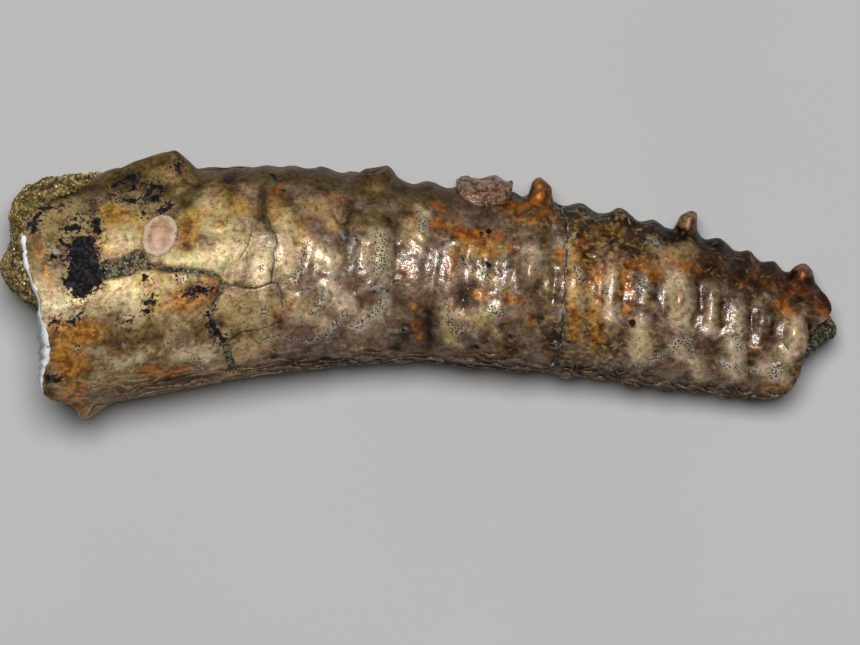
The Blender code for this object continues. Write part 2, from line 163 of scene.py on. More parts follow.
TAR = (
    ((-37.6, 4.5, .45), (-36.4, 4.2, .8), (-35.7, 4.4, .55)), ((-36.7, 3.8, 1.4), (-36.6, 2, 1.55),
    (-36.7, .7, 1.65), (-36.9, -.3, 1.2)), ((-38.4, .1, .45), (-37.4, -.2, .8)), ((-36.8, -.8, .7),
    (-36.8, -1.2, .35)), ((-35.6, 1, .6), (-35.3, .2, .5)), ((-40.2, 2.95, .1), (-39.5, 2.8, .13),
    (-38.9, 2.6, .13), (-38.3, 2.8, .15)), ((-39.3, 4.6, .08), (-38.7, 4.3, .15), (-38.2, 3.9, .2)),
    ((-43, 6.2, .25), (-42.4, 6.5, .4), (-42, 7, .3), (-41.6, 7.6, .2)), ((-42.2, 5.7, .2),
    (-42.2, 6.3, .35)), ((-42.6, 8.1, .12), (-42.1, 8.4, .25), (-41.7, 8.6, .2)), ((-41.4, 8.2, .15),
    (-40.8, 8.1, .2), (-40.4, 8.3, .1)), ((-39.5, 8.4, .2), (-39, 8.6, .12)), ((-39.2, 6, .15),
    (-38.4, 5.95, .3), (-37.7, 6, .3), (-37.4, 5.9, .2)), ((-38.2, 6.9, .12), (-37.4, 7.2, .15)),
    ((-36.7, 6.6, .15),), ((-35.6, 9, .15), (-36, 8.9, .1)), ((-35.6, 7.6, .08), (-35.3, 7, .14),
    (-35.3, 6, .18), (-35, 5.6, .15)), ((-33.5, 10.4, .15), (-32.7, 10.7, .2), (-31.9, 10.9, .3),
    (-31, 10.7, .3), (-30.3, 10.5, .15)), ((-33.4, 9.6, .12), (-32.8, 9.3, .15), (-32.3, 9.1, .15)),
    ((-31.9, 10.2, .2), (-31.2, 10.2, .2)), ((-31.9, 8.95, .15), (-31.3, 8.95, .12)), ((-29.9, 9.35, .2),
    (-29.6, 9.9, .3), (-29.1, 10.4, .25), (-28.5, 10.4, .22), (-28.2, 10.1, .15)), ((-29.5, 9.2, .3),
    (-29.1, 9.1, .35), (-28.85, 9.3, .2)), ((-27.5, 8.6, .15), (-27.2, 8.35, .2)), ((-30.25, 7.75, .12),
    (-30, 7.5, .15)), ((-28.3, 7.85, .12), (-27.8, 7.9, .12)), ((-26.3, 11.45, .18),),
    ((-30.85, 12.35, .18),), ((-30.1, 13.3, .1), (-29.5, 13.4, .2), (-29.1, 13.6, .12)), ((-21.2, 11, .15),
    (-20.8, 11.15, .15)), ((-21.3, 12.6, .08), (-20.4, 12.7, .1)), ((-19.6, 12.5, .2), (-19.1, 12.6, .15)),
    ((-30, -2.2, .15), (-29.5, -1.95, .25), (-29, -2.1, .2)), ((-29.4, -1.8, .25), (-29.15, -1.2, .15)),
    ((-30.1, -3.05, .06), (-29.75, -3, .1), (-29.9, -3.4, .06)), ((-24.6, -.95, .2), (-24, -.85, .3),
    (-23.3, -.85, .25), (-22.9, -.9, .15)), ((-25.7, -1.25, .1), (-25.2, -1.05, .15)), ((-39.9, -4.1, .25),
    (-39.5, -4.4, .25), (-39.3, -4.7, .12)), ((-38.8, -4.2, .12), (-38, -4.2, .12), (-37.6, -3.8, .2),
    (-37.2, -3.4, .2)), ((-32.5, -4.1, .2),), ((-32, -4.2, .18),), ((-26.3, .95, .2), (-25.9, .85, .15)),
    ((-30, .5, .18),), ((-22.95, -3.4, .2), (-22.85, -4.2, .27), (-22.45, -5, .27), (-21.9, -5.7, .25),
    (-21.4, -6.3, .15)), ((-10.7, -8.3, .2), (-10.1, -8.2, .35), (-9.8, -8.3, .2)), ((-13.2, -8.65, .12),),
    ((-5.3, 10.9, .2), (-4.8, 11, .25), (-4.5, 11.15, .1)), ((-6.2, 11.05, .12), (-5.9, 11, .12)),
    ((-15.1, 10.1, .08), (-14.6, 10, .1)), ((-16.2, 11.8, .12), (-15.6, 11.2, .18)), ((7.65, 5.5, .22),),
    ((6.8, 5.3, .16),), ((7.4, 2.2, .14), (7.65, 1.95, .18)), ((9.5, -5.7, .12), (9.95, -5.8, .25)),
    ((6.3, -7, .12), (6.6, -7.2, .15)), ((-7.1, -5.5, .22),), ((10.65, -6.6, .1),), ((12.3, -6.8, .12),
    (12.6, -6.95, .1)), ((23.4, -4.3, .3),), ((16.4, -6.4, .12),), ((30.1, .3, .15), (30.6, -.2, .12)),
    ((29.4, .6, .12),), ((34.2, .3, .14),), ((42.9, -7.3, .15), (43.1, -6, .2), (43, -5, .2),
    (42.8, -4.4, .15)), ((-41.7, -3.9, .1), (-42.1, -3.55, .08)), ((-42.1, -1.75, .12),),
    ((-40.6, -10.2, .25), (-39.8, -10.7, .2)),
)
RUST = (
    ((1.5, 8.5, .25), (2.2, 8.5, .5), (2.9, 8, .35)), ((1.4, 6.3, .35),), ((4.2, 5.5, .6), (5.2, 5.3, .6),
    (6.4, 5.3, .35), (7.2, 5.3, .2)), ((8.9, 5.4, .3), (9.1, 4.8, .35)), ((10, 3.9, .25),),
    ((4.2, 7, .25),), ((15.5, 4.2, .3), (15.5, 3.2, .35), (15.5, 2.3, .2)), ((18, 5, .3), (17.8, 4.3, .25)),
    ((18.5, .6, .3), (18.55, -.3, .3)), ((19.6, .3, .4), (20.2, 1.5, .3)), ((19.9, -1.7, .35),),
    ((23.2, 2.1, .4), (23.8, 1.7, .3)), ((25.4, 2.6, .25),), ((26.2, 1.4, .35), (25.5, .7, .35)),
    ((22.6, .6, .3), (22.8, -.4, .4), (22.9, -1.2, .35)), ((22.6, -2.9, .4), (23.3, -2.4, .2)),
    ((21.9, -1.4, .3),), ((29.2, 1.7, .25), (30, 1.8, .4), (30.7, 1.3, .25)), ((36.6, 2.6, .3),
    (37.1, 1.8, .4), (37.2, .5, .35)), ((37.9, .3, .3),), ((39.6, .6, .3), (39.8, -.4, .4)),
    ((40.2, -1.7, .5), (39.9, -2.5, .4), (40.6, -3.2, .45), (41.4, -3.4, .35)), ((41.2, -1.2, .6),
    (42.4, -1.1, .5), (43.2, -1, .5)), ((44, -2.2, .35), (44.6, -3, .4), (44.9, -3.6, .25)),
    ((40.8, -.3, .4), (42.3, 0, .4), (43.6, -.2, .3)), ((34.1, 2.6, .35), (34.7, 2.9, .25)),
    ((-27.8, -9.9, .25), (-27.2, -9.8, .35), (-26.8, -10.1, .2)), ((-26.2, -9.65, .2),),
    ((-30.8, -10, .2),), ((-28.8, -8.95, .15),), ((-13.9, .6, .2), (-13.5, .2, .3)), ((13, 10.8, .4),
    (13.2, 9.8, .4)), ((29.4, 7.3, .4), (29.8, 6.8, .3)), ((-15.8, 10, .5), (-15.1, 10.6, .3)),
    ((10.3, 8.1, .2), (11.8, 8.15, .25), (13.2, 7.9, .3)), ((9.5, -1.2, .3),), ((-23.4, -1.7, .25),),
    ((-24.7, -1.9, .25),), ((-37.2, -5.9, .3),), ((-36.3, -9.4, .25),), ((-26.3, 13.6, .3),
    (-25.6, 12.6, .3)),
)
OCHRE = (
    ((-34.2, 7.8, .8), (-33, 7.2, .7)), ((-41.6, 3.6, .5), (-41.2, 2, .3), (-40.6, 0, .3),
    (-40.2, -1.2, .25)), ((-25.5, 6, .7), (-25.2, 5, .7), (-25.6, 4.1, .5)), ((-37, -4.6, 1),
    (-35.9, -5.6, 1), (-38, -6.6, 1), (-39.3, -8, .9), (-38.5, -9.6, .9)), ((-39.9, -5.6, .5),),
    ((-38.9, -12.8, .7), (-38.3, -12.1, .5), (-37.6, -11, .5)), ((-23.3, .2, .35), (-22.5, 0, .25),
    (-22.4, -1, .2)), ((-26.4, -2.7, .5), (-25.4, -2.9, .4)), ((2.4, 6.8, .7), (3.2, 6, .6)),
    ((6.3, 4.3, .6), (7.2, 3.6, .7), (8.2, 3.4, .5)), ((3.5, 2.2, .5), (3.6, 1, .35)), ((6.5, -1, .5),
    (7.2, -1.3, .4)), ((9.4, -1.6, .5), (10.8, -1.9, .4), (11.5, -2, .3)), ((10, 8.6, .8), (12, 8.6, .9),
    (14, 8, .9)), ((10.8, 6.8, .6), (12.4, 6.6, .7), (13.5, 7, .6)), ((-9.8, 9.4, .3), (-9, 9.2, .4),
    (-8.4, 8.8, .25)), ((-15.4, -3.4, .5),), ((-14, -2.4, .6),), ((-12.5, 3.4, .4), (-12.2, 2.5, .4)),
    ((-11.3, 7.9, .4), (-10.6, 8.4, .3)), ((-12.5, 6.9, .2), (-12.3, 6.3, .2)), ((-1.4, 1.8, .3),
    (-1.4, .7, .4)), ((-.3, -2.3, .3),), ((-.3, -4.2, .4), (-.2, -5.6, .3), (.6, -6.5, .25)),
    ((18.3, 2.8, .4), (18.6, 2, .4)), ((16.8, -2.4, .5), (17.3, -4, .6), (17.1, -5.6, .6)),
    ((19.2, -3.4, .7), (19.5, -5.9, .7)), ((22, 7.2, .6), (23.2, 7.4, .6)), ((35.4, -.1, .35),
    (35.1, .5, .3)), ((38.2, .2, .3), (38.6, -.5, .3)), ((36.4, -6.5, .3), (36.8, -7.1, .25)),
    ((37.5, -11.9, .3), (38.6, -11.3, .25), (40.2, -11, .2)), ((31.1, -3, .35),), ((33.5, -5.2, .25),),
    ((12.1, -3.6, .25), (12.1, -4.7, .35)), ((8.3, -6.4, .25), (8.8, -7.4, .25)), ((28, 2.4, .6),
    (29.3, 1, .4)), ((-21.6, 6.4, .5), (-21, 6.9, .3)),
)
CREAM = (
    ((-33.4, 5, 1.3), (-32, 5.2, 1)), ((-34.5, -1.4, .9), (-32.4, -.6, 1.4), (-31, -1.5, 1.3),
    (-30.5, -3.2, .8)), ((-38.5, -2.4, .7), (-36.8, -2.4, .6)), ((-25.6, .5, .5), (-24.6, .5, .4)),
    ((-24.8, 2.6, .8), (-23, 3.2, 1.4), (-21, 3.6, 1.5), (-19.6, 4, .9)), ((-26.6, 2.4, .4),
    (-25.4, 2.5, .6)), ((-22.3, 6.8, .7), (-20.5, 6, .7)), ((-25.8, 9.8, .5), (-24, 9, .6), (-22, 8, .6)),
    ((-14.6, 7, .7), (-14.4, 5, .9), (-14.2, 3, 1), (-14.6, 1.2, .8)), ((-11.6, 4.6, .4), (-10.2, 3, .6),
    (-9.2, 2.4, .5)), ((-5.8, 4.2, .4), (-5.7, 3, .4)), ((-4.3, 4.2, .7), (-4.1, 2.6, .7)),
    ((-.9, 4.8, .35), (.1, 5.6, .45), (.4, 7.6, .3)), ((-.2, 8.2, .35),), ((3.2, -2.4, .3), (3.1, -4.4, .3),
    (3.5, -6.3, .3), (4.3, -6.8, .2)), ((4.3, -4, .3), (5.6, -3.9, .3), (7.2, -3.4, .45), (8.6, -2.9, .35)),
    ((8, -5, .2), (8.9, -5.8, .2)), ((28.3, -3.8, .5), (28.2, -2.3, .7), (28.3, -1.2, .4)),
    ((24.3, -7.8, .6), (24.4, -6, .6)), ((41.5, -6.8, .4), (41.5, -5.4, .6)), ((28.5, -7.4, .35),),
    ((30.6, -10.3, .4),), ((17.4, -2.9, .3), (17.8, -1.4, .3)), ((21.5, .3, .35), (21.4, 1.4, .3)),
    ((39.6, -7.4, .3),), ((-10.2, -.4, .2), (-10.1, -1.1, .2), (-10.4, -2.2, .2)), ((-16.9, 2.6, .7),
    (-17, -1.4, .8)),
)
BROWN = (
    ((-34.4, -4.1, .45), (-33.6, -4.3, .5), (-33.9, -5.4, .35)), ((-27.75, -3.4, .2), (-27.6, -4.6, .3)),
    ((-25.8, -5.6, .9), (-24.2, -5.6, .8)), ((-8.1, 7.2, .5), (-8.1, 5.4, .45), (-8.1, 3.6, .35)),
    ((-3.2, 6.6, .6), (-5, 6.6, .4)), ((1.15, -1.2, .2), (1.1, -4, .3), (1.2, -7, .35)), ((-2.5, 4, .35),
    (-2.6, 0, .3), (-2.6, -3, .35), (-2.6, -7, .35)), ((4.8, -1.4, .2), (4.8, -2.6, .2)), ((5.9, -7, .5),),
    ((18.2, 4, .4), (18.9, 3, .4), (19.6, 1.8, .3)), ((9.6, -4.5, .8),), ((9.6, -7, .6),),
    ((-5.8, -2.2, .9),), ((-17, 7, .3), (-17, 8.5, .45), (-16.9, 10.5, .5)), ((-20.7, 10.2, .4),
    (-20.6, 9.4, .3)), ((22.4, -5.2, .4), (22.3, -6.6, .4)), ((30.8, -1, .4), (30.9, -2.8, .4)),
    ((31.2, -6.4, .7),), ((29.2, -9.2, .6),), ((33.7, -8, .6),), ((36.5, -3.5, .3), (36.6, -5.2, .3)),
    ((42.6, -7.6, .4), (41.7, -9.3, .4)), ((14.9, 1.2, .5), (14.8, -1.6, .5)), ((-12.4, -4.9, .7),
    (-11.4, -4.8, .5)), ((-7.4, -.4, .6),), ((25.9, -4.5, .35), (25.9, -6, .35)), ((12.9, 1.4, .3),
    (13.6, -4.4, .5)),
)
VEINS = (
    ((-10.6, 1, .12), (-9.3, .9, .18), (-8.4, .85, .18), (-7.6, 1.2, .16), (-7.2, 1.9, .13), (-7.5, 3, .13),
    (-7.3, 4.2, .14), (-6.7, 5, .18)), ((-13.2, -1.4, .2), (-12.4, -.9, .3), (-11.8, -.5, .2)),
    ((-5.4, -.6, .25), (-4.4, -.2, .42), (-3.7, -.9, .42), (-3.6, -2, .36), (-4.3, -3.1, .36),
    (-5.4, -4, .36), (-6.6, -4.8, .36), (-7, -5.4, .2)), ((-8, -2.9, .13), (-8.4, -3.8, .16),
    (-9.2, -4.5, .16), (-10.1, -5.6, .16), (-10, -6.3, .13)), ((-10.1, -.2, .16), (-10, -1, .2),
    (-10.5, -2.2, .2), (-11.4, -3.2, .18), (-12, -4, .13)), ((-17.3, -6.2, .1), (-15.6, -5.9, .1),
    (-13.2, -6, .1), (-12.2, -6.5, .13), (-11.2, -6.1, .1), (-10, -6.2, .13)), ((-15.8, -7.3, .2),
    (-14.8, -7.7, .2)), ((-3, -5.2, .2), (-1.6, -4.9, .2)), ((2.6, 3.4, .15), (3.2, 4.2, .15),
    (4.2, 4.4, .2)), ((.1, 7, .25), (.4, 6, .35), (.4, 5.2, .2)), ((5.6, -4.8, .15), (6.2, -5.7, .3)),
    ((34, -7, .2), (35.4, -7, .25)), ((31, -5.2, .12), (32.2, -6, .13), (33.3, -5.7, .13),
    (34.1, -5.2, .12), (35.2, -5.4, .2)), ((39.2, -10, .4), (39.7, -8.9, .4)), ((28.1, -7.9, .13),
    (28.1, -6.6, .16), (28.8, -6, .18), (29.6, -6.2, .18), (30.1, -7.4, .13), (30.1, -8.3, .13)),
    ((25.5, -8.9, .13), (26.4, -8, .13), (27.5, -7.7, .1)), ((32.8, -8.8, .08), (34.3, -8.95, .1),
    (35.9, -9.2, .1), (37, -9.3, .1), (37.9, -9.9, .12)), ((-40.1, 3.9, .25), (-39.8, 3.3, .3)),
    ((-39.6, 1.6, .25),), ((-35.9, -7.2, .2), (-35.2, -7.7, .2)), ((-30.8, -8.8, .3), (-30.2, -8.3, .3)),
    ((-35.7, -8.6, .1), (-33.7, -8.2, .12)), ((-16.8, 5.2, .35), (-16.5, 4.6, .3)), ((24, -.4, .3),
    (24.8, -1, .3)), ((9.6, 2.4, .15), (10.1, 1.4, .15)), ((-8.5, 5.6, .15), (-8.4, 5.1, .12)),
    ((37.6, -4.4, .15), (38.3, -4, .15)), ((38, -1.5, .1), (39.4, -2.4, .13)), ((25.2, 4.3, .4),
    (26.3, 4, .3)), ((29.2, -4.3, .2),),
)
PITTED = (
    ((-12.6, 3.6, .3), (-12.8, 1.4, .4), (-13.6, .4, .5)), ((-4.2, 4.6, .7), (-4.2, 3, .9),
    (-4.4, 1.6, .6)), ((-4, -1.8, .25), (-4.8, -3, .3), (-6.3, -4.2, .25), (-7.4, -4.7, .25)),
    ((-10.6, -1.2, .25), (-11, -2.2, .25), (-11.7, -3.1, .2)), ((-8.2, -3.2, .3), (-9.4, -4.5, .3),
    (-10.2, -5.8, .25)), ((-17.2, -6.2, .12), (-15.6, -5.8, .12), (-13.1, -6, .2), (-11.9, -6.4, .25),
    (-10.9, -5.9, .25)), ((-3, -.1, .25),), ((3.4, -3.9, .3), (4.2, -5.2, .7), (5.2, -4.8, .6)),
    ((.4, 6.9, .3), (.3, 5.7, .3)), ((1.5, 2.6, .5), (2.6, 2.6, .4)), ((4.6, 2.8, .2), (5.2, 2.1, .25),
    (5.7, 1.3, .2)), ((8, -2.8, .4), (9.2, -3.2, .35)), ((23.8, -8.9, .15), (25.2, -9.1, .2),
    (26.4, -7.9, .2), (27.6, -7.6, .2)), ((28.2, -7.4, .3), (28.3, -6.3, .3), (29.6, -6.2, .3),
    (30, -7.6, .3)), ((34.8, -5.8, .4),), ((35.2, -7, .4),), ((39.1, -9.9, .45), (39.6, -8.9, .45)),
    ((33.4, -11.1, .4),), ((32.9, -8.8, .12), (34, -8.9, .15), (37.6, -9.7, .15)), ((24.4, -.6, .5),
    (24.6, .3, .4)), ((17.5, 1.2, .5), (17.9, .2, .4)), ((21, -1, .5),), ((-17.2, 1.6, .25),),
    ((-17.1, -3.1, .4),), ((-27.5, -6.8, .45),), ((-26.1, -6.7, .25),), ((-22.3, -6.9, .5),),
    ((-24.5, -8.3, .4), (-23.7, -9.6, .3)), ((-38.4, -2.6, .4),), ((-37.4, -7.1, .35),),
    ((-32.3, -6.7, .35),), ((-7, 2.8, .3), (-6.4, 1.6, .4)), ((-19.5, 4.5, .25),), ((6.6, 2, .4),
    (7.2, .6, .5)),
)
CRACKS = (
    ((-21.4, 0, .1), (-20.6, -.3, .09), (-19.8, -.35, .08), (-19, -.55, .1), (-18, -.6, .1),
    (-17.2, -.35, .09), (-16.2, .05, .08), (-15.5, 0, .08), (-15.2, -.6, .07), (-15.05, -1.5, .06),
    (-14.95, -2.7, .05)), ((-16.2, .1, .08), (-16.1, 1.2, .09), (-15.75, 2.6, .08), (-15.95, 3.2, .07),
    (-15.55, 4.4, .08), (-15.75, 5.2, .08), (-16.2, 5.9, .08), (-16.7, 7.4, .07), (-17, 9.2, .05)),
    ((-20.2, 2.1, .02), (-19.3, 3.2, .04), (-18.7, 4.1, .05), (-18.5, 5.2, .05), (-18.2, 6.8, .03)),
    ((-20.7, 1.1, .06), (-20.9, .2, .07)), ((-21, -6.5, .07), (-20.3, -5.9, .07), (-19.6, -5.4, .07),
    (-18.8, -5.2, .06), (-17.8, -5.05, .06), (-16.4, -4.7, .05), (-15, -4, .03)), ((-35.1, 3.9, .05),
    (-34.9, 2.6, .06), (-34.6, 1.2, .06), (-34.4, .2, .05)), ((-36.5, -13.5, .08), (-35.6, -13.05, .1),
    (-34, -12.95, .08), (-33, -12.9, .05)), ((-42.4, -3.5, .08), (-41.7, -3.6, .06)), ((39.5, -3, .06),
    (40.7, -4.2, .06)), ((40.1, -6.6, .07), (40.6, -7.2, .07)), ((13, -6.9, .03), (14.3, -6, .04),
    (15, -5.2, .04)),
)
MISSING_SHELL = (
    ((-34.2, 1.4, 1), (-33, 1.6, 1.05), (-31.8, 2, 1.1), (-31, 2.6, 1), (-30.4, 2.2, .7), (-29.4, 1.8, .35),
    (-28.5, 1.65, .3), (-27, 1.45, .28), (-25.5, 1.35, .28), (-24, 1.2, .25), (-22.9, 1, .22),
    (-22.1, .65, .2), (-21.6, .1, .2), (-21.8, -1, .2), (-22.3, -2.1, .2), (-22.75, -2.9, .2)),
    ((-21.2, -6.9, .3), (-20.9, -7.9, .42), (-20.6, -8.9, .46), (-20.4, -9.8, .4)),
)
BROKEN_EDGE = (
    ((-43.4, 5, .16), (-43.4, 4.2, .18), (-43.25, 3.2, .22), (-43, 2, .14), (-42.8, 1, .12),
    (-42.4, 0, .14), (-42.2, -.8, .3), (-42.1, -1.4, .2)), ((-42, -2.2, .32), (-42, -3.2, .42),
    (-41.8, -4, .5), (-41.55, -5, .6), (-41.45, -6, .45), (-41.35, -7.4, .28), (-41.3, -8.5, .17),
    (-41.3, -9.2, .08)),
)
LAYER_EDGES = (
    ((-31.4, -12.9, .08), (-30.3, -12.4, .08), (-29.5, -12.1, .06)), ((-28, -12, .06), (-27, -11.6, .09),
    (-26.2, -11.2, .1), (-25.3, -11.2, .08)), ((-24.8, -11.1, .2), (-23.6, -10.9, .15),
    (-22.6, -11.2, .06)), ((-24, -10.6, .12), (-23.2, -10.5, .15), (-22.5, -10.2, .1),
    (-21.3, -10.15, .06)), ((-22.4, -11.2, .05), (-21.3, -10.8, .06), (-20.6, -10.55, .05)),
    ((-9.3, -6.1, .06), (-8.6, -6.5, .08), (-7.9, -6.95, .12), (-7, -7.15, .1), (-6.4, -6.9, .1),
    (-5.8, -6.8, .1), (-4.9, -6.8, .08), (-4.3, -7.1, .07), (-3.4, -7.7, .07), (-2.8, -8, .08),
    (-2.2, -7.8, .08)), ((-9.9, -9.7, .06), (-9.2, -9.4, .07), (-8.4, -9.15, .05)), ((-6.6, -9.5, .1),
    (-5.9, -9.1, .07), (-5, -8.7, .06), (-4, -8.5, .07), (-3.2, -8.7, .07), (-2.6, -8.9, .12),
    (-2.2, -8.6, .1)), ((4.5, -8, .06), (5.4, -8.35, .1), (6.4, -8, .06), (7, -7.7, .05)),
    ((8.7, -8.1, .05), (9.5, -8.7, .06), (10.5, -8.9, .05)), ((-1, -9.6, .04), (.3, -9.15, .05)),
    ((1.2, -9.3, .08), (2.2, -9.5, .1)), ((20.3, -3.8, .08), (21.3, -4.1, .1), (22, -4.1, .06)),
    ((21.2, -6.7, .05), (22, -6.85, .06), (23, -6.7, .05)), ((21.1, -7.95, .08), (21.8, -8, .08)),
    ((24, -10.4, .05), (25, -10.9, .05), (26, -11, .06), (26.6, -10.9, .08), (27.2, -11.2, .07),
    (28.4, -11.8, .05)), ((35, -12.5, .05), (35.6, -11.95, .07), (36.6, -11.7, .06)), ((17, 6.3, .06),
    (17.8, 6.7, .1), (18.7, 6.9, .1), (19.6, 6.5, .08), (20.4, 6.2, .1), (21.2, 6.05, .12), (21.7, 6.5, .1),
    (22.3, 6.55, .12), (22.9, 6.35, .12), (23.5, 5.9, .1), (24.5, 5.75, .08)), ((20.1, 4.1, .08),
    (21.1, 3.7, .06)), ((16.4, 7.6, .05), (18.2, 7.8, .06)), ((-35.6, -12.8, .1), (-34.2, -12.5, .08)),
    ((36, -6.9, .06), (36.8, -7.2, .08), (37.6, -7.05, .06)), ((1.2, 6, .05), (2, 5.2, .06), (3, 4.8, .06),
    (4, 4.4, .08)),
)
SILVERED = (
    ((15.4, 4.9, .25), (15.8, 4.2, .25)), ((16.4, 4.8, .35), (16.9, 5, .3)), ((16.4, 4.1, .2),),
    ((16.2, 3.2, .12), (16, 2.3, .1)), ((14.6, 7.1, .1), (14.8, 6.4, .1), (15, 5.9, .12)),
    ((15.8, -2.7, .12), (15.6, -3.4, .2), (15.4, -4.1, .15)), ((15.2, -5.2, .1),), ((14.9, -6.5, .2),
    (15.3, -7.1, .12)),
)
GLASSY_LAYER = (
    ((16.4, 7.8, .2), (17.8, 7.9, .45), (19, 7.6, .45), (20.3, 7.1, .3)), ((-36.3, -12.3, .5),
    (-35.6, -12.5, .35)), ((19.2, -.7, .25), (19.6, -.4, .25)),
)
SCAR = (((-28.5, 4.85, 1.85), (-28.3, 5.6, 1.85)),)  # healed, now a pale pink disc


def smooth_step(value):
    t = np.clip(value, 0, 1)
    return t * t * (3 - 2 * t)


def through(table, place, column=1):
    """A smooth curve through a table's rows, read at an array of places."""
    xs, ys = table[:, 0], table[:, column]
    slopes = np.gradient(ys, xs)
    low = np.clip(np.searchsorted(xs, place) - 1, 0, len(xs) - 2)
    span = xs[low + 1] - xs[low]
    t = np.clip((place - xs[low]) / span, 0, 1)
    return (
        (1 + 2 * t) * (1 - t) ** 2 * ys[low] + t * (1 - t) ** 2 * span * slopes[low]
        + t**2 * (3 - 2 * t) * ys[low + 1] + t**2 * (t - 1) * span * slopes[low + 1]
    )


def around_tube(table, turn):
    """The same for a table of angles, which closes on itself."""
    before, after = table[-2:] - (360, 0), table[:2] + (360, 0)
    return through(np.concatenate([before, table, after]), np.degrees(turn) % 360)


def half_height(place):
    return through(STATIONS, place, 2)


def on_rib_line(crossing, turn):
    return crossing + through(RIB_LEAN, crossing) * np.sin(turn) * half_height(crossing)


def rib_crossing(place, turn):
    """Where the rib line through a point crosses the middle of the flank."""
    crossing = place
    for _ in range(5):
        crossing = place - through(RIB_LEAN, crossing) * np.sin(turn) * half_height(crossing)
    return crossing


def stump(along, turned, tall, height, left, right, reach_around, flatness):
    around = ((turned + np.pi) % (2 * np.pi) - np.pi) * tall / reach_around
    return height * smooth_step((1 - np.hypot(along / np.where(along < 0, left, right), around)) * flatness)


def relief(place, turn):
    """Height of ribs, stumps and lip above the plain tube."""
    tall, crossing = half_height(place), rib_crossing(place, turn)
    loss = SMOOTH_SIDE_LOSS - NARROW_LENGTH_REGAIN * smooth_step((place - 8) / 12)
    strength = 1 - loss * (1 - np.sin(turn)) + SPINY_SIDE_GAIN * smooth_step((np.sin(turn) - 0.7) / 0.3)
    height = 0
    for crest, rise, half_width in RIBS:
        height = height + rise * strength * np.exp(-(((crossing - crest) / half_width) ** 2))
    for crest, degrees, *form in STUMPS:
        for mirrored in (degrees, 180 - degrees):
            height = height + stump(crossing - crest, turn - math.radians(mirrored), tall, *form)
    crest, degrees, *form = LIP_SWELLING
    return height + stump(crossing - crest, turn - math.radians(degrees), tall, *form)


def tube_slope(place):
    return (through(STATIONS, place + 0.1) - through(STATIONS, place - 0.1)) / 0.2


def tube_points(place, turn, above=0.0, fraction=1.0):
    """Points of the plain tube, moved out by above and drawn towards its middle by fraction."""
    tall = half_height(place)
    wide = tall * WIDTH_TO_HEIGHT
    slope = tube_slope(place)
    length = np.hypot(1, slope)
    out_y, out_z = np.sin(turn) / tall, np.cos(turn) / wide
    out = np.hypot(out_y, out_z)
    across = fraction * (tall * np.sin(turn) + above * out_y / out)
    up = fraction * (wide * np.cos(turn) + above * out_z / out)
    x = place - slope / length * across
    y = through(STATIONS, place) + across / length
    z = np.maximum(wide - FLOOR_WEAR + up, 0)
    return np.stack([x, y, z], axis=-1)


# Marks are measured on the shell unrolled: u is X, and v the way around from the top of the flank.
ARC_TURNS = np.linspace(0, np.pi, 721)
ARC_STEP = np.hypot(np.cos(ARC_TURNS), WIDTH_TO_HEIGHT * np.sin(ARC_TURNS))
ARC_LENGTHS = np.concatenate([[0], np.cumsum((ARC_STEP[1:] + ARC_STEP[:-1]) / 2) * ARC_TURNS[1]])
HALF_WAY = ARC_LENGTHS[-1]  # length of half of a ring whose half height is 1


def arc(turn):
    """Length around from the top of the flank, for a ring whose half height is 1."""
    turned = (turn + np.pi) % (2 * np.pi) - np.pi
    return np.sign(turned) * np.interp(np.abs(turned), ARC_TURNS, ARC_LENGTHS)


def unrolled(stroke):
    """A stroke of the photo's points, laid on the upper flank."""
    laid = []
    for x, y, half_width in stroke:
        place = np.array(float(x))
        for _ in range(8):
            slope = tube_slope(place)
            across = (y - through(STATIONS, place)) * np.hypot(1, slope)
            place = x + slope / np.hypot(1, slope) * across
        turn = np.arcsin(np.clip(across / half_height(place), -0.995, 0.995))
        laid.append((x, float(half_height(place) * arc(turn)), half_width))
    return laid


FAR = 2.5  # distances are measured no further than this


def distance_to(strokes, u, v):
    """Distance in millimetres to the edge of the nearest stroke, negative within it."""
    nearest = np.full(u.shape, FAR)
    for stroke in strokes:
        s = np.array(stroke, float)
        margin = s[:, 2].max() + FAR
        near = (u > s[:, 0].min() - margin) & (u < s[:, 0].max() + margin)
        near &= (v > s[:, 1].min() - margin) & (v < s[:, 1].max() + margin)
        if not near.any():
            continue
        un, vn, best = u[near], v[near], nearest[near]
        ends = list(zip(s, s[1:])) or [(s[0], s[0])]
        for (ua, va, wa), (ub, vb, wb) in ends:
            du, dv = ub - ua, vb - va
            t = np.clip(((un - ua) * du + (vn - va) * dv) / max(du * du + dv * dv, 1e-9), 0, 1)
            best = np.minimum(best, np.hypot(un - ua - t * du, vn - va - t * dv) - wa - t * (wb - wa))
        nearest[near] = best
    return nearest


def wander(points, size, seed):
    """Smooth random waves from -1 to 1, with bumps about size millimetres across."""
    count = 24  # corners of the lattice along each side, after which it repeats
    lattice = np.random.default_rng(seed).uniform(-1, 1, (count,) * 3)
    cell = points / size
    low = np.floor(cell).astype(int)
    ease = cell - low
    ease = ease * ease * (3 - 2 * ease)
    total = 0
    for corner in itertools.product((0, 1), repeat=3):
        share = np.prod(np.where(corner, ease, 1 - ease), axis=-1)
        i, j, k = np.moveaxis((low + corner) % count, -1, 0)
        total = total + share * lattice[i, j, k]
    return total


def waves(points, *forms):
    """Random waves added up, each with its height, size and seed."""
    return sum(height * wander(points, size, seed) for height, size, seed in forms)


# Marks on the flank that the shell lies on and around the smooth side, which the photo doesn't show.
hidden = np.random.default_rng(41)


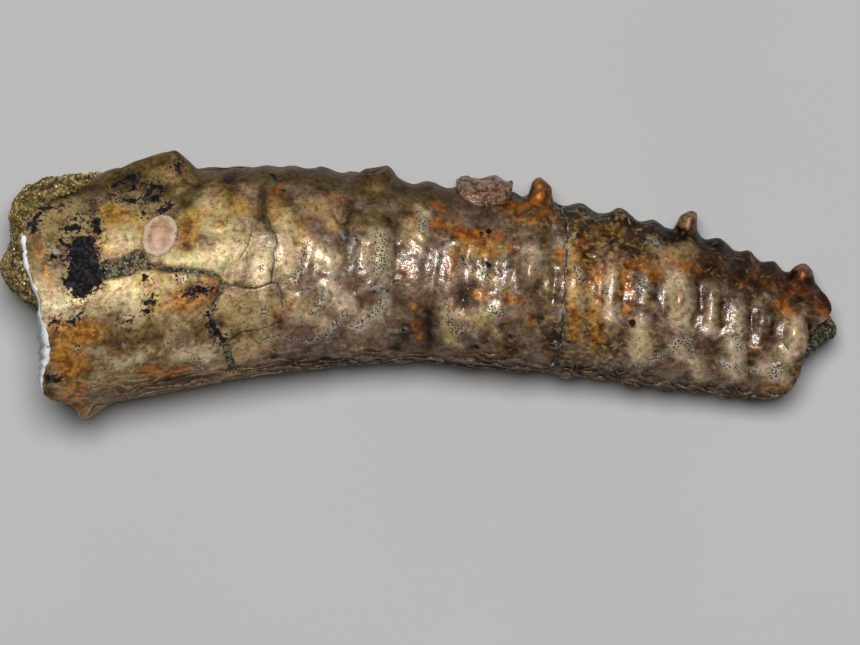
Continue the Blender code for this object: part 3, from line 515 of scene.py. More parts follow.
def hidden_strokes(count, along, half_width, points, drift):
    """Strokes in random places beyond the upper flank."""
    strokes = []
    for _ in range(count):
        x = hidden.uniform(*along)
        turn = hidden.choice((-1, 1)) * math.radians(hidden.uniform(100, 172))
        heading, stroke = hidden.uniform(0, 2 * math.pi), []
        for _ in range(points):
            tall = half_height(x)
            turn = math.copysign(min(max(abs(turn), math.radians(98)), math.radians(175)), turn)
            stroke.append((x, float(tall * arc(turn)), hidden.uniform(*half_width)))
            heading += hidden.normal(0, 0.7)
            x += drift * math.cos(heading)
            turn += drift * math.sin(heading) / tall
        strokes.append(stroke)
    return strokes


MARKS = {}
for kind, drawn, *random_ones in (
    # kind, strokes that the photo shows, and beyond them: count, places, half widths, points, drift
    ("tan", TAN, 16, (-40, 42), (0.6, 1.4), 3, 1.6),
    ("yellow", YELLOW, 14, (-38, 30), (0.5, 1.2), 3, 1.6),
    ("pale", PALE, 12, (-38, -8), (0.6, 1.2), 3, 1.6),
    ("olive", OLIVE, 20, (-40, 42), (0.6, 1.3), 4, 1.6),
    ("shade", SHADE, 30, (-40, 44), (0.4, 1.2), 3, 1.4),
    ("bright", PALE_AND_PAINTED_LIGHT, 24, (-30, 42), (0.4, 1.0), 3, 1.4),
    ("amber", AMBER, 18, (-40, 44), (0.5, 1.1), 3, 1.4),
    ("tar", TAR, 40, (-40, 30), (0.1, 0.6), 3, 0.7),
    ("rust", RUST, 50, (-36, 43), (0.2, 0.6), 3, 0.7),
    ("ochre", OCHRE, 45, (-40, 42), (0.3, 0.8), 3, 1.1),
    ("cream", CREAM, 35, (-38, 42), (0.3, 0.9), 3, 1.4),
    ("brown", BROWN, 35, (-36, 42), (0.3, 0.8), 3, 1.0),
    ("vein", VEINS, 40, (-20, 42), (0.1, 0.3), 6, 0.9),
    ("crack", CRACKS, 7, (-32, 10), (0.04, 0.08), 12, 1.1),
    ("gap", MISSING_SHELL),
    ("edge", BROKEN_EDGE),
    ("layer", LAYER_EDGES, 14, (-30, 40), (0.05, 0.1), 7, 0.8),
    ("silver", SILVERED),
    ("glass", GLASSY_LAYER),
    ("scar", SCAR),
    ("pitted", PITTED, 24, (-22, 42), (0.2, 0.6), 3, 0.8),
):
    MARKS[kind] = [unrolled(stroke) for stroke in drawn]
    if random_ones:
        MARKS[kind] += hidden_strokes(*random_ones)


def within(distance, softness):
    """1 inside a mark and 0 outside, over a soft edge."""
    return smooth_step(0.5 - distance / (2 * softness))


RAGGED_WAVES = ((0.22, 0.9, 11), (0.14, 0.45, 1))
RAGGED_MARKS = {  # kinds of mark with a ragged edge, and how much of the waves it takes
    "tar": 1, "rust": 1, "cream": 1, "brown": 1, "ochre": 1, "glass": 1, "vein": 1, "silver": 1,
    "shade": 1, "bright": 1, "gap": 0.5, "edge": 0.5, "scar": 0.25,
}
MARK_RELIEF = (  # kind of mark, how far it stands out, softness of its edge
    ("cream", 0.14, 0.8), ("bright", 0.12, 0.8), ("shade", -0.10, 0.8), ("vein", 0.13, 0.5),
    ("tar", 0.03, 0.12), ("layer", 0.10, 0.12), ("silver", 0.06, 0.15), ("crack", -0.12, 0.12),
    ("scar", 0.26, 0.10),
)
WORN_SHARE = 0.30  # of the roughness, left at the wide end
FRINGE_TOP, FRINGE_FOOT = -56, -99  # degrees between which the layers of the wall crop out
LAYER_STEP, LAYER_SPACING = 0.20, 1.25  # of these layers


def shell_surface(place, turn):
    """Points of the shell's outside with all its relief, and the distance to each kind of mark."""
    plain = tube_points(place, turn)
    tall, crossing, ribs = half_height(place), rib_crossing(place, turn), relief(place, turn)
    u, v = plain[..., 0], tall * arc(turn)
    marks = {kind: distance_to(strokes, u, v) for kind, strokes in MARKS.items()}
    ragged = waves(plain, *RAGGED_WAVES)
    for kind, share in RAGGED_MARKS.items():
        marks[kind] = marks[kind] + share * ragged

    # The wide end is worn smoother, and the smooth side is more dented.
    rough = WORN_SHARE + (1 - WORN_SHARE) * smooth_step((u + 24) / 14)
    dented = 0.13 + 0.15 * smooth_step((-np.sin(turn) - 0.1) / 0.4)
    growth_lines = np.stack([crossing / 0.55, v / 5.0, np.zeros_like(u)], axis=-1)
    above = ribs + rough * (
        dented * wander(plain, 2.6, 3) + waves(plain, (0.05, 1.0, 4), (0.030, 0.45, 5))
        + waves(growth_lines, (0.04, 1.0, 6))
    )

    # Layers of the shell wall crop out along the lower edge of the flank, as small steps.
    degrees = np.degrees((turn + np.pi) % (2 * np.pi) - np.pi)
    fringe = smooth_step((FRINGE_TOP - degrees) / 9 + wander(plain, 2.6, 31))
    fringe = fringe * smooth_step((degrees - FRINGE_FOOT) / 13) * smooth_step((u + 37) / 6)
    strata = (v - 5.0 * ribs + 1.3 * wander(plain, 2.0, 32)) / LAYER_SPACING
    above = above + LAYER_STEP * fringe * ((strata % 1) ** 3 - 0.3)

    for kind, height, softness in MARK_RELIEF:
        above = above + height * within(marks[kind], softness)
    above = above - 0.16 * rough * within(marks["brown"], 0.6)
    above = above - within(marks["rust"], 0.25) * (0.04 + 0.05 * wander(plain, 0.35, 8))
    above = above - within(marks["gap"], 0.10) * (0.34 + 0.14 * wander(plain, 0.42, 9))
    above = above - within(marks["pitted"], 0.3) * (0.02 + 0.05 * wander(plain, 0.33, 10))
    above = above - 0.08 * within(marks["scar"] + 0.45, 0.25)  # the scar is a dish with a low rim
    upward = smooth_step((np.abs(np.cos(turn)) - 0.45) / 0.4)
    spiny = smooth_step((np.sin(turn) - 0.3) / 0.68)
    extra = {"relief": above, "fringe": fringe, "strata": strata, "upward": upward, "spiny": spiny}
    return tube_points(place, turn, above), {**marks, **extra}


def circle(around):
    """Points on a circle about as wide as the tube, to read random waves at."""
    radius = 9
    return np.stack([np.cos(around) * radius, np.sin(around) * radius, np.zeros_like(around)], axis=-1)


def broken_rim(table, around, *forms):
    """Places of a broken edge around the tube, ragged by waves."""
    return around_tube(table, around) + waves(circle(around), *forms)


BREAK_WAVES = ((0.16, 1.6, 23), (0.08, 0.5, 24))


def ring_turns(near_step, far_step, tall):
    """Angles of a ring's corners, close together on the upper flank and wider apart below."""
    near_reach = math.radians(100)
    near_length, whole = tall * arc(np.array(near_reach)), tall * HALF_WAY
    near = np.linspace(-near_length, near_length, round(2 * near_length / near_step))
    below = np.linspace(near_length, 2 * whole - near_length, round(2 * (whole - near_length) / far_step))
    lengths = np.concatenate([near, below[1:-1]]) / tall
    wrapped = (lengths + HALF_WAY) % (2 * HALF_WAY) - HALF_WAY
    turns = np.sign(wrapped) * np.interp(np.abs(wrapped), ARC_LENGTHS, ARC_TURNS)
    return turns % (2 * np.pi)


def mesh_piece(name, points, faces, material, attributes=None):
    """A mesh object at the origin, with smooth faces and any per-point numbers."""
    mesh = bpy.data.meshes.new(name)
    mesh.from_pydata((points * METRES).tolist(), [], faces)
    mesh.shade_smooth()
    mesh.materials.append(material)
    for kind, numbers in (attributes or {}).items():
        mesh.attributes.new(kind, "FLOAT", "POINT").data.foreach_set("value", numbers.astype(np.float32))
    mesh.update()
    piece = bpy.data.objects.new(name, mesh)
    bpy.context.scene.collection.objects.link(piece)
    return piece


def loop_faces(ring_count, corners, closed_on_itself):
    """Quads between rings of corners that were laid out one after another."""
    rings = np.arange(ring_count if closed_on_itself else ring_count - 1)[:, None]
    corner = np.arange(corners)[None, :]
    here, beyond = rings * corners, (rings + 1) % ring_count * corners
    following = (corner + 1) % corners
    quads = np.stack([here + corner, beyond + corner, beyond + following, here + following], axis=-1)
    return quads.reshape(-1, 4).tolist()


INNER_RINGS = 12


def shell_tube(name, left, right, turn, step, slant, material):
    """A length of shell between two broken edges, with every mark outside and plain inside."""
    columns = round(float(np.mean(right - left)) / step)
    crossing = left + (right - left) * np.linspace(0, 1, columns)[:, None]
    turns = np.broadcast_to(turn, crossing.shape)
    outside, marks = shell_surface(on_rib_line(crossing, turns), turns)
    inner_share = np.linspace(1, 0, INNER_RINGS)[:, None]
    inner = (left - slant) + (right - FRACTURE_SLANT - left + slant) * inner_share
    inner_turns = np.broadcast_to(turn, inner.shape)
    inside = tube_points(on_rib_line(inner, inner_turns), inner_turns, -SHELL_WALL)
    points = np.concatenate([outside, inside]).reshape(-1, 3)
    attributes = {"wall": np.concatenate([np.zeros(crossing.shape), np.ones(inner.shape)]).ravel()}
    for kind, numbers in marks.items():
        plain_inside = np.full(inner.shape, FAR if kind in MARKS else 0.0)
        attributes[kind] = np.concatenate([numbers, plain_inside]).ravel()
    return mesh_piece(name, points, loop_faces(columns + INNER_RINGS, len(turn), True), material, attributes)


class Number:
    """A node socket that takes part in Python arithmetic."""

    def __init__(self, paint, socket):
        self.paint, self.socket = paint, socket

    def __add__(self, other):
        return self.paint.math("ADD", self, other)

    def __sub__(self, other):
        return self.paint.math("SUBTRACT", self, other)

    def __mul__(self, other):
        return self.paint.math("MULTIPLY", self, other)

    def __rsub__(self, other):
        return self.paint.math("SUBTRACT", other, self)

    __radd__, __rmul__ = __add__, __mul__


def plug(tree, socket, value):
    """Link a number or a socket to a node's input, or set a plain value there."""
    value = value.socket if isinstance(value, Number) else value
    if isinstance(value, bpy.types.NodeSocket):
        tree.links.new(value, socket)
    else:
        socket.default_value = value


def add_node(tree, kind, settings, values):
    """A node with its settings, and then the values or links of its sockets."""
    made = tree.nodes.new(kind)
    for setting, value in settings.items():
        setattr(made, setting, value)
    for socket, value in values.items():
        plug(tree, made.inputs[socket], value)
    return made


class Paint:
    """One material, and short ways to add nodes to it."""

    def __init__(self, name):
        self.material = bpy.data.materials.new(name)
        self.material.use_nodes = True
        self.tree = self.material.node_tree
        self.shader = self.tree.nodes["Principled BSDF"]
        self.place = self.node("ShaderNodeTexCoord", {}, {}, "Object")

    def node(self, kind, settings, values, output=0):
        return Number(self, add_node(self.tree, kind, settings, values).outputs[output])

    def math(self, operation, a, b=0.0):
        return self.node("ShaderNodeMath", {"operation": operation}, {0: a, 1: b})

    def most(self, first, *others):
        """The largest of some numbers."""
        for other in others:
            first = self.math("MAXIMUM", first, other)
        return first

    def attribute(self, kind):
        return self.node("ShaderNodeAttribute", {"attribute_name": kind}, {}, "Fac")

    def shifted(self, seed):
        """The place on the piece, moved so that each seed gives a pattern of its own."""
        return self.node("ShaderNodeVectorMath", {"operation": "ADD"}, {0: self.place, 1: (seed * 0.01,) * 3})

    def noise(self, size, detail, seed, swirl=0.0):
        """Cloudy noise from 0 to 1, with clouds about size millimetres across."""
        values = {"Vector": self.shifted(seed), "Scale": 1 / (size * METRES), "Detail": detail}
        values["Distortion"] = swirl
        return self.node("ShaderNodeTexNoise", {"noise_dimensions": "3D"}, values)

    def cells(self, size, seed):
        """Distance from the middle of the nearest random cell, in cells."""
        values = {"Vector": self.shifted(seed), "Scale": 1 / (size * METRES)}
        return self.node("ShaderNodeTexVoronoi", {"voronoi_dimensions": "3D"}, values)

    def step(self, value, low, high):
        """0 below low and 1 above high, smooth between. With low above high it falls."""
        settings = {"interpolation_type": "SMOOTHSTEP"}
        values = {0: value, 1: low, 2: high, 3: 0.0, 4: 1.0}
        if low > high:
            values.update({1: high, 2: low, 3: 1.0, 4: 0.0})
        return self.node("ShaderNodeMapRange", settings, values)

    def mix(self, factor, a, b, blend="MIX"):
        a, b = ((*c, 1) if isinstance(c, tuple) else c for c in (a, b))
        settings = {"data_type": "RGBA", "blend_type": blend}
        return self.node("ShaderNodeMix", settings, {0: factor, 6: a, 7: b}, 2)

    def tint(self, factor, colour, by):
        """A colour multiplied by another, as far as factor says."""
        return self.mix(factor, colour, by, "MULTIPLY")

    def stained(self, colour, *stains):
        """A colour with stains laid over it in turn, each a factor and a colour."""
        for factor, stain in stains:
            colour = self.mix(factor, colour, stain)
        return colour

    def tinted(self, colour, *tints):
        """A colour multiplied by tints in turn, each a factor and a colour."""
        for factor, by in tints:
            colour = self.tint(factor, colour, by)
        return colour

    def bump(self, height, millimetres):
        return self.node("ShaderNodeBump", {}, {"Height": height, "Distance": millimetres * METRES})

    def finish(self, **values):
        for socket, value in values.items():
            plug(self.tree, self.shader.inputs[socket.replace("_", " ")], value)
        return self.material


def nacre():
    """Stained, glossy fossil nacre, with painted shade and painted light in places. Colours are linear red,
    green and blue.
    """
    p = Paint("stained_nacre")
    along = p.node("ShaderNodeSeparateXYZ", {}, {"Vector": p.place}, "X") * (1 / METRES)
    left, right = p.step(along, -12.0, -22.0), p.step(along, 14.0, 20.0)
    spiny, relief_height = p.attribute("spiny"), p.attribute("relief")
    clouds, marble, patches = p.noise(3.2, 3, 1.0, 0.5), p.noise(1.7, 3, 2.0, 0.7), p.noise(0.9, 2, 10.0, 0.3)
    crisp, crust = p.noise(0.5, 6, 19.0, 0.2), p.noise(0.75, 5, 20.0, 0.2)
    fine, grain = p.noise(0.36, 3, 3.0), p.noise(0.18, 2, 4.0)
    fray = (p.noise(0.7, 4, 5.0) - 0.5) * 1.1
    broad_fray = (p.noise(2.0, 4, 6.0, 0.6) - 0.5) * 4.0
    mark = {kind: p.attribute(kind) for kind in MARKS}

    def inside(kind, softness, shift=0.0, frayed=1.0):
        return p.step(mark[kind] + fray * frayed + shift, softness, -softness)

    def ground(kind):
        return p.step(mark[kind] + broad_fray, 1.0, -0.8)

    def tones(dark, middle, light):
        deep = p.mix(p.step(clouds, 0.35, 0.52), dark, middle)
        return p.mix(p.step(marble, 0.42, 0.66), deep, light)

    def varied(dark, light):
        return p.mix(p.step(patches, 0.40, 0.58), dark, light)

    # The ground: brown and mauve nacre in the middle, creamy at the mouth, dark at the tip.
    base = tones((0.100, 0.068, 0.044), (0.170, 0.120, 0.088), (0.26, 0.200, 0.155))
    base = p.tint(p.step(along, -4.0, 2.0), base, (0.86, 0.85, 0.86))
    colour = p.stained(
        base,
        (left, tones((0.155, 0.094, 0.042), (0.27, 0.185, 0.100), (0.43, 0.33, 0.20))),
        (right, tones((0.048, 0.029, 0.017), (0.110, 0.074, 0.050), (0.20, 0.148, 0.112))),
        (ground("olive") * 0.75, (0.15, 0.115, 0.035)),
        (ground("yellow") * (0.55 + left * 0.3), (0.56, 0.37, 0.10)),
        (ground("pale") * 0.85, p.mix(left, (0.34, 0.28, 0.20), (0.44, 0.37, 0.22))),
        (ground("amber") * 0.8, varied((0.20, 0.075, 0.012), (0.46, 0.20, 0.035))),
        # Pale shell, with painted light and painted highlights on the knobs and crests.
        (inside("bright", 1.1, -0.1) * 0.9, (0.64, 0.56, 0.45)),
        (inside("cream", 0.9, 0.0, 1.6) * 0.7, (0.66, 0.56, 0.35)),
        (inside("ochre", 0.6, 0.0, 1.6) * 0.8, varied((0.22, 0.085, 0.010), (0.46, 0.22, 0.030))),
        (inside("brown", 0.5, 0.1, 1.0) * 0.5, (0.070, 0.044, 0.028)),
    )
    # Shade strokes, darker towards the spiny side past the middle, and painted shade along the upper edge,
    # where the tube turns away from the light.
    colour = p.tinted(
        colour,
        (ground("shade") * 0.9, (0.26, 0.17, 0.09)),
        (p.step(spiny, 0.0, 0.7) * right, (0.46, 0.34, 0.20)),
        (p.step(spiny, 0.75, 1.0), (0.56, 0.50, 0.28)),
    )
    colour = p.mix(ground("tan") * 0.8, colour, (0.44, 0.34, 0.18))
    # Darker in the hollows: partly brown staining, partly painted shade.
    colour = p.tint(p.step(relief_height, 0.08, -0.30) * 0.6, colour, (0.45, 0.37, 0.28))

    # The stumps past the middle are stained rust brown, and those of the narrow length pinkish brown.
    stub = p.step(relief_height, 0.9, 1.6) * p.step(along, 4.0, 10.0)
    rusty_stub = varied((0.13, 0.055, 0.014), (0.36, 0.15, 0.035))
    pinkish_stub = varied((0.17, 0.10, 0.055), (0.34, 0.22, 0.13))
    colour = p.mix(stub * 0.85, colour, p.mix(right, rusty_stub, pinkish_stub))

    # Mottling from broad clouds down to single crystals.
    colour = p.tinted(
        colour,
        (p.step(p.noise(1.8, 2, 8.0), 0.42, 0.62), (0.94, 1.0, 0.90)),
        (p.step(p.noise(1.5, 2, 9.0), 0.42, 0.62), (1.08, 0.95, 1.08)),
        (p.step(marble, 0.46, 0.30), (0.60, 0.50, 0.38)),
        (p.step(patches, 0.46, 0.28), (0.68, 0.60, 0.50)),
        (p.step(patches, 0.54, 0.72), (1.25, 1.24, 1.22)),
        (p.step(crisp, 0.54, 0.66) * 0.8, (1.40, 1.38, 1.34)),
        (p.step(crisp, 0.46, 0.34) * 0.8, (0.52, 0.43, 0.33)),
        (p.step(grain, 0.54, 0.70) * 0.6, (0.62, 0.54, 0.44)),
        (p.step(fine, 0.54, 0.70) * 0.6, (1.35, 1.34, 1.30)),
        (1 - left, (1.04, 0.94, 0.80)),
        (left, (1.03, 0.99, 0.82)),
    )

    # Veins, rust, and past the middle a gilt crust that is dark where it is thin.
    rust = varied((0.20, 0.050, 0.004), (0.46, 0.140, 0.010))
    rust = p.tint(p.step(spiny, 0.15, 0.6) * right, rust, (0.40, 0.30, 0.25))
    crusted = p.step(along, 15.0, 17.0) * p.step(along, 27.0, 20.0)
    gold = p.step(crust + crusted * 0.07, 0.50, 0.66) * p.step(crisp, 0.42, 0.60) * p.step(along, 6.0, 12.0)
    colour = p.stained(
        colour,
        (inside("vein", 0.45, 0.1, 0.9) * p.step(crisp, 0.36, 0.50) * 0.8, (0.46, 0.46, 0.39)),
        (inside("rust", 0.35, 0.0, 0.8) * 0.9, rust),
        (gold * (0.62 - p.step(along, 24.0, 30.0) * 0.25), (0.46, 0.29, 0.085)),
    )
    colour = p.tint(p.step(crust, 0.44, 0.34) * crusted * 0.6, colour, (0.40, 0.28, 0.20))
    colour = p.stained(
        colour,
        # Layer edges: pale gold lines, partly a painted glint along their crests.
        (inside("layer", 0.25, 0.1, 1.3) * p.step(crisp, 0.38, 0.50) * 0.9, (0.54, 0.40, 0.18)),
        (inside("silver", 0.10, 0.0, 1.5) * p.step(grain, 0.4, 0.6) * 0.8, (0.40, 0.43, 0.40)),
        (inside("glass", 0.2) * 0.8, (0.05, 0.06, 0.055)),
    )

    # The layers that crop out along the lower edge have painted shade in the low seam below each step, and
    # gilt crests that are partly a painted glint.
    fringe, seam = p.attribute("fringe"), p.math("FRACT", p.attribute("strata"))
    colour = p.tint(fringe * p.step(seam, 0.75, 0.2) * 0.85, colour, (0.30, 0.22, 0.14))
    gilt_and_glint = fringe * p.step(seam, 0.84, 0.97) * p.step(patches, 0.48, 0.62)
    colour = p.mix(gilt_and_glint, colour, (0.55, 0.38, 0.17))

    # The healed scar is pink with a paler rim, and bare rock shows where shell is missing.
    scar_inner = p.mix(p.step(patches, 0.35, 0.65), (0.62, 0.38, 0.25), (0.46, 0.26, 0.16))
    scar = p.mix(p.step(mark["scar"] + fray * 1.6, -0.8, -0.1), scar_inner, (0.66, 0.50, 0.37))
    scar = p.tint(p.step(crisp, 0.48, 0.36) * 0.6, scar, (0.72, 0.58, 0.50))
    scarred = p.step(mark["scar"] + fray * 0.4 + (patches - 0.5) * 0.7, 0.08, -0.06)
    grit, sprinkle = p.noise(0.55, 4, 17.0, 0.4), p.noise(0.28, 2, 18.0)
    rock = p.mix(p.step(grit, 0.44, 0.56), (0.050, 0.038, 0.018), (0.18, 0.150, 0.085))
    rock = p.mix(p.step(sprinkle, 0.60, 0.68), rock, (0.38, 0.38, 0.30))
    rock = p.tint(p.step(sprinkle, 0.45, 0.37), rock, (0.16, 0.16, 0.15))
    stony = inside("gap", 0.08, 0.0, 0.5)

    # Pits, cracks and tar are the darkest. Near the mouth the tar breaks up into specks.
    pits = p.step(p.cells(0.24, 1.0), 0.48, 0.38) * p.step(mark["pitted"] + fray, 0.4, -0.1)
    stray_pits = p.step(p.cells(0.75, 2.0), 0.15, 0.09) * p.step(patches, 0.46, 0.52)
    cracked = p.step(mark["crack"] + fray * 0.1, 0.07, -0.03)
    specks = left * p.step(mark["tar"] + fray, 1.2, 0.1) * p.step(p.noise(0.34, 4, 15.0), 0.52, 0.57)
    blots = p.step(mark["tar"] + fray * (0.5 + left * 0.4) - left * 0.05, 0.10, -0.10)
    tarred = p.most(blots, specks)
    tar = p.mix(p.step(crisp, 0.45, 0.65), (0.010, 0.011, 0.017), (0.060, 0.066, 0.095))

    # The broken edge is brown at the other breaks, and near white at the mouth: pale nacre with a painted
    # highlight where the edge faces the light.
    wall = p.most(inside("edge", 0.10, -0.05, 0.5), p.step(p.attribute("wall"), 0.05, 0.15))
    broken = p.mix(p.step(fine, 0.30, 0.46), (0.50, 0.58, 0.80), (0.96, 0.98, 1.0))
    broken = p.mix(p.step(patches, 0.33, 0.28), broken, (0.06, 0.07, 0.11))
    colour = p.stained(
        colour,
        (scarred, scar),
        (stony, rock),
        (inside("pitted", 0.4) * 0.45, (0.50, 0.45, 0.34)),
        (p.most(pits, stray_pits) * 0.92, (0.012, 0.008, 0.005)),
        (cracked * 0.92, (0.014, 0.010, 0.007)),
        (tarred * 0.93, p.mix(right, tar, (0.020, 0.013, 0.008))),
        (wall, p.mix(left, (0.13, 0.085, 0.04), broken)),
    )

    # Nacre glints in grains on the upper flank. Tar, rock and broken edges are dull.
    dull = p.most(stony, tarred, wall)
    shiny, upward = p.step(along, -24.0, -8.0) * (1 - dull), p.attribute("upward")
    glints = shiny * upward * p.step(p.noise(0.17, 2, 16.0), 0.50, 0.57)
    pearly = (1 - dull) * (1 - scarred * 0.8) * (0.32 - (left + right) * 0.09 - glints * 0.2)
    spiny_sheen = p.step(spiny, 0.45, 0.95) * (1 - dull) * (0.20 + right * 0.20)
    return p.finish(
        Base_Color=colour, Roughness=0.50 + dull * 0.5 - glints * 0.35,
        Metallic=pearly + tarred * 0.8 + spiny_sheen, IOR=1.42,
        Normal=p.bump(patches * 0.5 + fine * 0.25 + grain * 0.12, 0.12),
        Coat_Weight=shiny * upward * (0.08 + glints * 0.5), Coat_Roughness=0.12, Coat_IOR=1.5,
    )


stained_nacre = nacre()
around = ring_turns(near_step=0.165, far_step=0.36, tall=11.0)
mouth = broken_rim(MOUTH_RIM, around, (0.18, 1.3, 21), (0.16, 0.45, 22))
middle = broken_rim(MIDDLE_BREAK, around, *BREAK_WAVES)
# The break at the mouth is bevelled, most of all on the lower part of the upper flank.
degrees = np.degrees(around)
least_bevel = 0.36
bevel = 0.9 * smooth_step((degrees - 318) / 12) * smooth_step((352 - degrees) / 12)
bevel = bevel + waves(circle(around), (0.14, 0.6, 27))
wide_shell = shell_tube(
    "wide_shell_nacre", mouth + bevel * 0.6, middle - HALF_GAP, around,
    step=0.172, slant=least_bevel + bevel, material=stained_nacre,
)
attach(wide_shell, "root")
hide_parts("wide_shell")

# ---------------------------------------------------------------------------------------------
# NARROW SHELL. The younger, narrow length of the same tube, of the same nacre, more stained with
# iron. It is glued back on at the old break, and its tip is broken off at a slant.

TIP_RIM = np.array([
    (0, 42.8), (18, 43.4), (33, 44.6), (46, 44.9), (65, 43.7), (90, 42.4), (120, 42.9), (150, 43.9),
    (180, 43.4), (210, 42.3), (240, 40.5), (270, 38.6), (295, 40.6), (320, 42.2), (340, 42.5),
])
around = ring_turns(near_step=0.13, far_step=0.32, tall=7.9)
middle = broken_rim(MIDDLE_BREAK, around, *BREAK_WAVES)
tip = broken_rim(TIP_RIM, around, (0.18, 1.4, 25), (0.08, 0.5, 26))
narrow_shell = shell_tube(
    "narrow_shell_nacre", middle + HALF_GAP, tip, around,
    step=0.125, slant=FRACTURE_SLANT, material=stained_nacre,
)
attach(narrow_shell, "root")
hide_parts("narrow_shell")

# ---------------------------------------------------------------------------------------------
# WIDE ROCK. Sandy rock of coarse, gold-brown and green grains that filled the wide length of the
# shell as sand and set hard there. It stands out of the mouth as a lump on the spiny side, over the
# shell's edge, and lies behind the edge on the smooth side.

MOUTH_FACE = np.array([  # height above the middle of the tube, place
    (-13.0, -39.6), (-4.0, -40.2), (-1.5, -41.2), (0.6, -43.6), (4.0, -45.2), (6.7, -44.0), (12.5, -42.6),
])
HOLLOW_DEPTH = 1.6  # behind the shell's edge, on the smooth side
FACE_ROUNDING = 2.6
LUMP_SIDES = (-0.05, 0.25)  # sines of the turns between which the hollow gives way to the lump
LUMP_START = 0.7  # in front of the shell's edge
LUMP_OVERHANG, LUMP_BULGE = 0.45, 1.0  # over the shell's outside
OVERHANG_FROM, OVERHANG_TO, OVERHANG_BLEND = 50.0, 138.0, 16.0  # degrees
OVERHANG_REACH = 1.0  # back over the shell
ROCK_INSET = 0.05  # how far the rock reaches into the shell's wall, so that no gap shows


def on_face(table, rim, turn, fraction, rounding):
    """Places on a rock face at a fraction of the way out from its middle."""
    face = through(table, fraction * np.sin(turn) * half_height(rim))
    return face + rounding * (fraction * np.cos(turn)) ** 2


def roughened(rings, bare, *forms):
    """Rings of points pushed out and in along their normals by waves, as far as bare says."""
    beside = np.roll(rings, -1, axis=1) - np.roll(rings, 1, axis=1)
    normal = np.cross(np.gradient(rings, axis=0), beside)
    normal /= np.maximum(np.linalg.norm(normal, axis=-1, keepdims=True), 1e-9)
    rough = rings + normal * (waves(rings, *forms) * bare)[..., None]
    rough[..., 2] = np.maximum(rough[..., 2], 0.02)  # the grains stay above the table
    return rough


def closed_rings(name, rings, material, attributes):
    """A closed piece skinned over rings, with a fan over the first and the last."""
    count, corners = rings.shape[:2]
    points = np.concatenate([rings.reshape(-1, 3), rings[:1].mean(1), rings[-1:].mean(1)])
    first, last = count * corners, count * corners + 1
    faces = loop_faces(count, corners, False)
    for i in range(corners):
        j = (i + 1) % corners
        faces += [(first, i, j), (last, last - 1 - corners + j, last - 1 - corners + i)]
    padded = {kind: np.concatenate([n.ravel(), n[0, :1], n[-1, :1]]) for kind, n in attributes.items()}
    return mesh_piece(name, points, faces, material, padded)


def sand(name, dark, middle, light, green):
    """Rock and grains in four colours. Loose grains carry their own tone."""
    p = Paint(name)
    coarse, fine = p.noise(0.9, 4, 11.0), p.noise(0.3, 3, 12.0)
    tone = p.attribute("tone")
    colour = p.mix(p.step(coarse + fine * 0.6 + tone * 0.9, 0.62, 0.95), dark, middle)
    colour = p.mix(p.step(fine * 0.7 + tone * 0.6, 0.58, 0.80), colour, light)
    colour = p.mix(p.step(p.noise(1.6, 3, 13.0), 0.52, 0.62) * 0.7, colour, green)
    colour = p.tint(p.step(p.noise(0.25, 2, 14.0), 0.5, 0.3) * 0.8, colour, (0.35, 0.30, 0.25))
    colour = p.tint(p.step(p.noise(1.3, 3, 15.0), 0.52, 0.40), colour, (0.35, 0.30, 0.24))
    return p.finish(
        Base_Color=colour, Roughness=0.62 - tone * 0.3, Normal=p.bump(fine + coarse, 0.15), IOR=1.4,
        Coat_Weight=p.step(tone, 0.4, 0.9) * 0.8, Coat_Roughness=0.12,
    )


